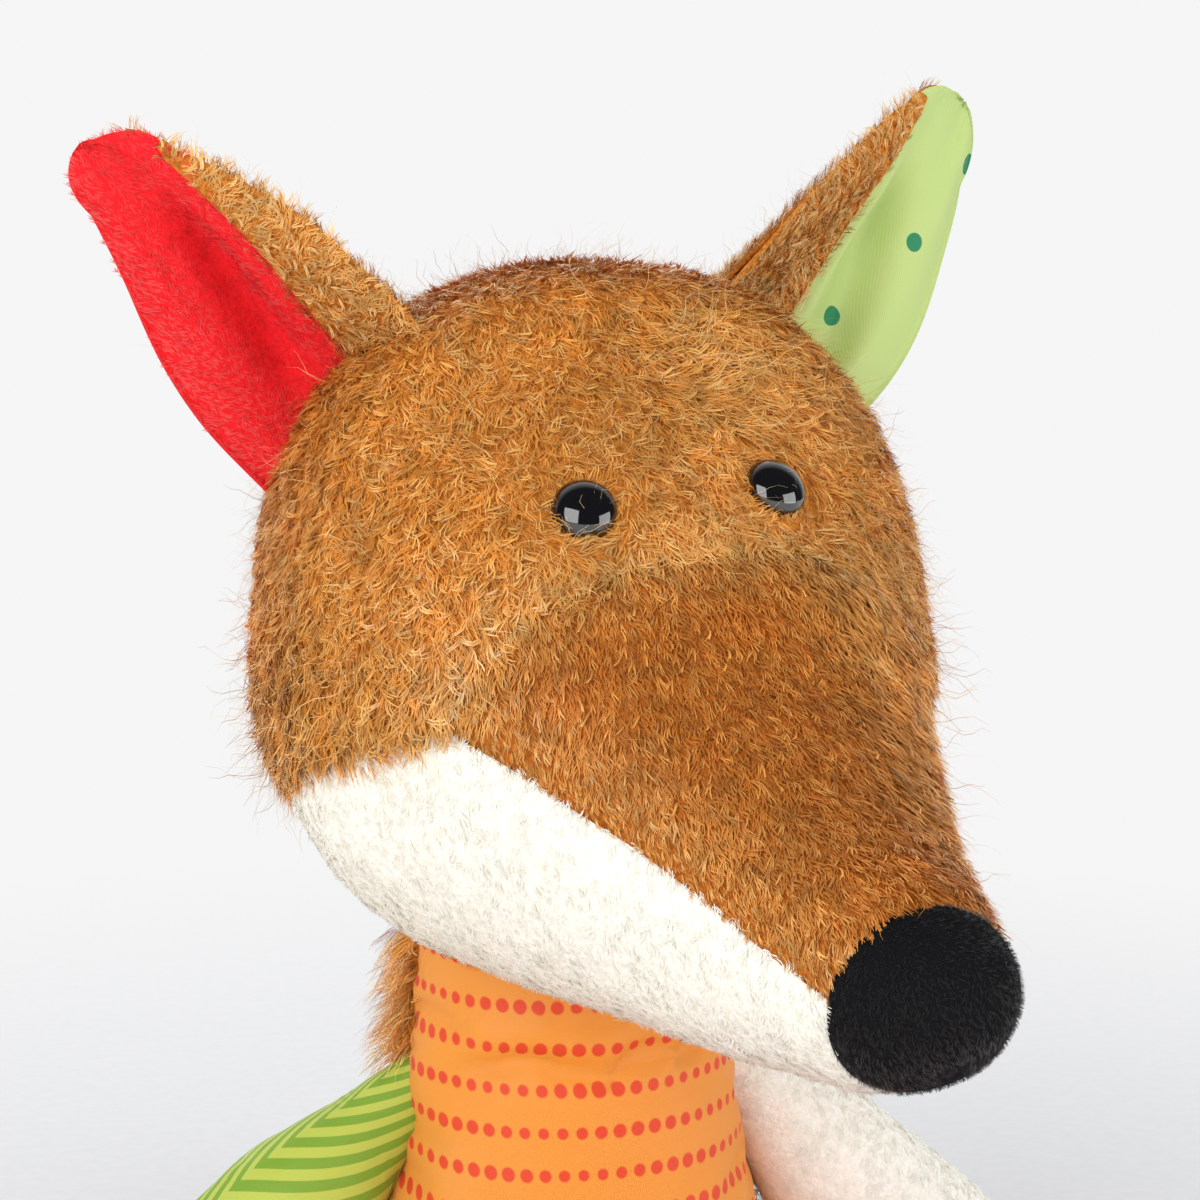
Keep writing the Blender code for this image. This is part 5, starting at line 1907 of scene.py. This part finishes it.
@dataclass
class Studio:
    """The floor, the light and the camera."""

    azimuth: float = -15.2
    elevation: float = 9.6
    distance: float = 0.50
    lens: float = 91.5
    aim: tuple[float, float, float] = (0.0057, 0.0, 0.1512)
    backdrop: Colour = (0.920, 0.920, 0.920)
    lamps: tuple[tuple[str, Row, float, float], ...] = (
        ("key", (-0.74, -0.74, 0.50), 0.84, 6.5),
        ("fill", (0.78, -0.60, 0.15), 0.70, 3.7),
        ("top", (0.0, 0.80, 0.62), 0.6, 1.9),
    )

    def make_camera(self) -> None:
        """Stand the camera where the photograph was taken from."""
        turn = math.radians(self.azimuth)
        lift = math.radians(self.elevation)
        aim = Vector(self.aim)
        way = Vector((math.sin(turn) * math.cos(lift), -math.cos(turn) * math.cos(lift),
                      math.sin(lift)))
        data = bpy.data.cameras.new("Camera")
        data.lens = self.lens
        data.sensor_width = 36
        data.sensor_fit = "HORIZONTAL"
        data.clip_start = 0.01
        camera = add_object("Camera", data)
        camera.matrix_world = Matrix.Translation(aim + way * self.distance) @ facing(way)
        bpy.context.scene.camera = camera

    def make_light(self, name: str, place: Row, size: float, power: float) -> None:
        """A square soft light that looks at the head."""
        data = bpy.data.lights.new(name, "AREA")
        data.size = size
        data.energy = power
        way = Vector(place) - Vector((0, 0, 0.14))
        add_object(name, data).matrix_world = Matrix.Translation(place) @ facing(way)

    def make_world(self) -> None:
        """A white surround for the camera, and a softer one for the light."""
        world = bpy.data.worlds.new("World")
        bpy.context.scene.world = world
        world.use_nodes = True
        world.node_tree.nodes.clear()
        graph = Graph(world.node_tree)
        rays = graph.node("ShaderNodeLightPath").outputs
        seen = graph.math("MAXIMUM", rays["Is Camera Ray"], rays["Is Transmission Ray"])
        seen = graph.math("MAXIMUM", seen, rays["Is Glossy Ray"])
        skies = (((0.95, 0.97, 1.0), 0.83), (self.backdrop, 1.0), ((0.03, 0.03, 0.035), 1.0))
        soft, white, room = (
            graph.node("ShaderNodeBackground", {0: colour, 1: power}).outputs[0]
            for colour, power in skies)
        shown = self.behind(graph, rays["Is Glossy Ray"])
        backdrop = graph.node("ShaderNodeMixShader", {0: shown, 1: room, 2: white}).outputs[0]
        both = graph.node("ShaderNodeMixShader", {0: seen, 1: soft, 2: backdrop}).outputs[0]
        graph.node("ShaderNodeOutputWorld", {0: both})

    def behind(self, graph: Graph, glossy: bpy.types.NodeSocket) -> bpy.types.NodeSocket:
        """Where the white is seen: everywhere, but in reflections only behind the fox."""
        way = graph.node("ShaderNodeTexCoord").outputs["Generated"]
        depth = graph.node("ShaderNodeSeparateXYZ", {0: way}).outputs[1]
        back = graph.node("ShaderNodeMapRange", {
            "From Min": 0.2, "From Max": 0.7, "To Min": 1.0, "To Max": 0.0,
            "Value": depth}).outputs[0]
        return graph.math("SUBTRACT", 1.0, graph.math("MULTIPLY", back, glossy))

    def make_floor(self) -> None:
        """A pale floor that the fox sits on."""
        form = bmesh.new()
        bmesh.ops.create_grid(form, x_segments=24, y_segments=24, size=1.6)
        mesh = bpy.data.meshes.new("floor")
        form.to_mesh(mesh)
        form.free()
        nodes = Nodes("floor paper")
        reach = nodes.node("ShaderNodeVectorMath", {0: nodes.places()}, operation="LENGTH")
        far = nodes.math("MULTIPLY", reach.outputs["Value"], 2.2)
        fade = nodes.greys(nodes.math("SUBTRACT", far, 0.35), (0.0, 0), (0.6, 1))
        grain = nodes.greys(nodes.noise(300, 3), (0.3, 0.72), (0.7, 0.75))
        paper = nodes.mix(fade, grain, (0, 0, 0))
        glow = nodes.mix(fade, (0, 0, 0), self.backdrop)
        mesh.materials.append(nodes.finish(base_color=paper, roughness=0.9,
                                           specular_ior_level=0.0, emission_color=glow,
                                           emission_strength=1.0))
        floor = add_object("floor", mesh)

    def make(self) -> None:
        """Set the whole stage."""
        bpy.context.scene.view_settings.view_transform = "Standard"
        self.make_camera()
        self.make_world()
        self.make_floor()
        for lamp in self.lamps:
            self.make_light(*lamp)


def dress_inner_nodes(wardrobe: Wardrobe) -> None:
    """Give the sealed pieces that stay solids their finishes."""
    finishes = {"stuffing": "stuffing fibre", "pouch": "pellet cloth",
                "washer": "washer plastic"}
    for name, node in frame["nodes"].items():
        for word, finish in finishes.items():
            if word in name:
                node.data.materials.clear()
                node.data.materials.append(wardrobe[finish])


def make_limbs(tailor: Tailor) -> None:
    """The two arms, the two legs and the tail."""
    arms = {
        Side.LEFT: ("sherpa backing", "cream_sherpa", SHERPA_COAT),
        Side.RIGHT: ("striped satin", "striped_satin", ()),
    }
    for side, (finish, slot, coat) in arms.items():
        place = Matrix.Translation((side.value * SHOULDER[0], *SHOULDER[1:]))
        Arm(tailor, f"arm_{side.word}", place, finish, slot, coat=coat, side=side).make()
    legs = {
        Side.LEFT: ("red backing", "red_plush", RED_LEG_COAT),
        Side.RIGHT: ("orange satin", "orange_satin", ()),
    }
    for side, (finish, slot, coat) in legs.items():
        place = (Matrix.Translation((side.value * HIP[0], *HIP[1:]))
                 @ Matrix.Rotation(math.radians(side.value * LEG_SPLAY), 4, "Z"))
        Leg(tailor, f"leg_{side.word}", place, finish, slot, coat=coat).make()
    Tail(tailor, "tail", Matrix.Translation(TAIL_ROOT)).make()


def main() -> None:
    """Build the studio and dress the fox."""
    logging.basicConfig(level=logging.INFO, format="%(message)s")
    Studio().make()
    wardrobe = Wardrobe()
    tailor = Tailor(wardrobe, PileTree())
    head = Head(tailor)
    head.make()
    Neck(tailor).make()
    Ear(tailor, head, Side.LEFT, "green satin", "green_satin", length=0.070, angle=46,
        lean=47, turn_out=6, hem_start=-0.2, bulge=0.36, inner_bulge=-0.14,
        print_shift=(0.49, 0.18)).make()
    Ear(tailor, head, Side.RIGHT, "red backing", "red_plush", length=0.0625, angle=45,
        lean=47, turn_out=28, bulge=-0.24, bulge_power=3.6).make()
    Torso(tailor).make()
    make_limbs(tailor)
    dress_inner_nodes(wardrobe)
    tailor.tree.clear()
    LOG.info("%d pieces placed", len(tailor.pieces))


if __name__ == "__main__":
    main()
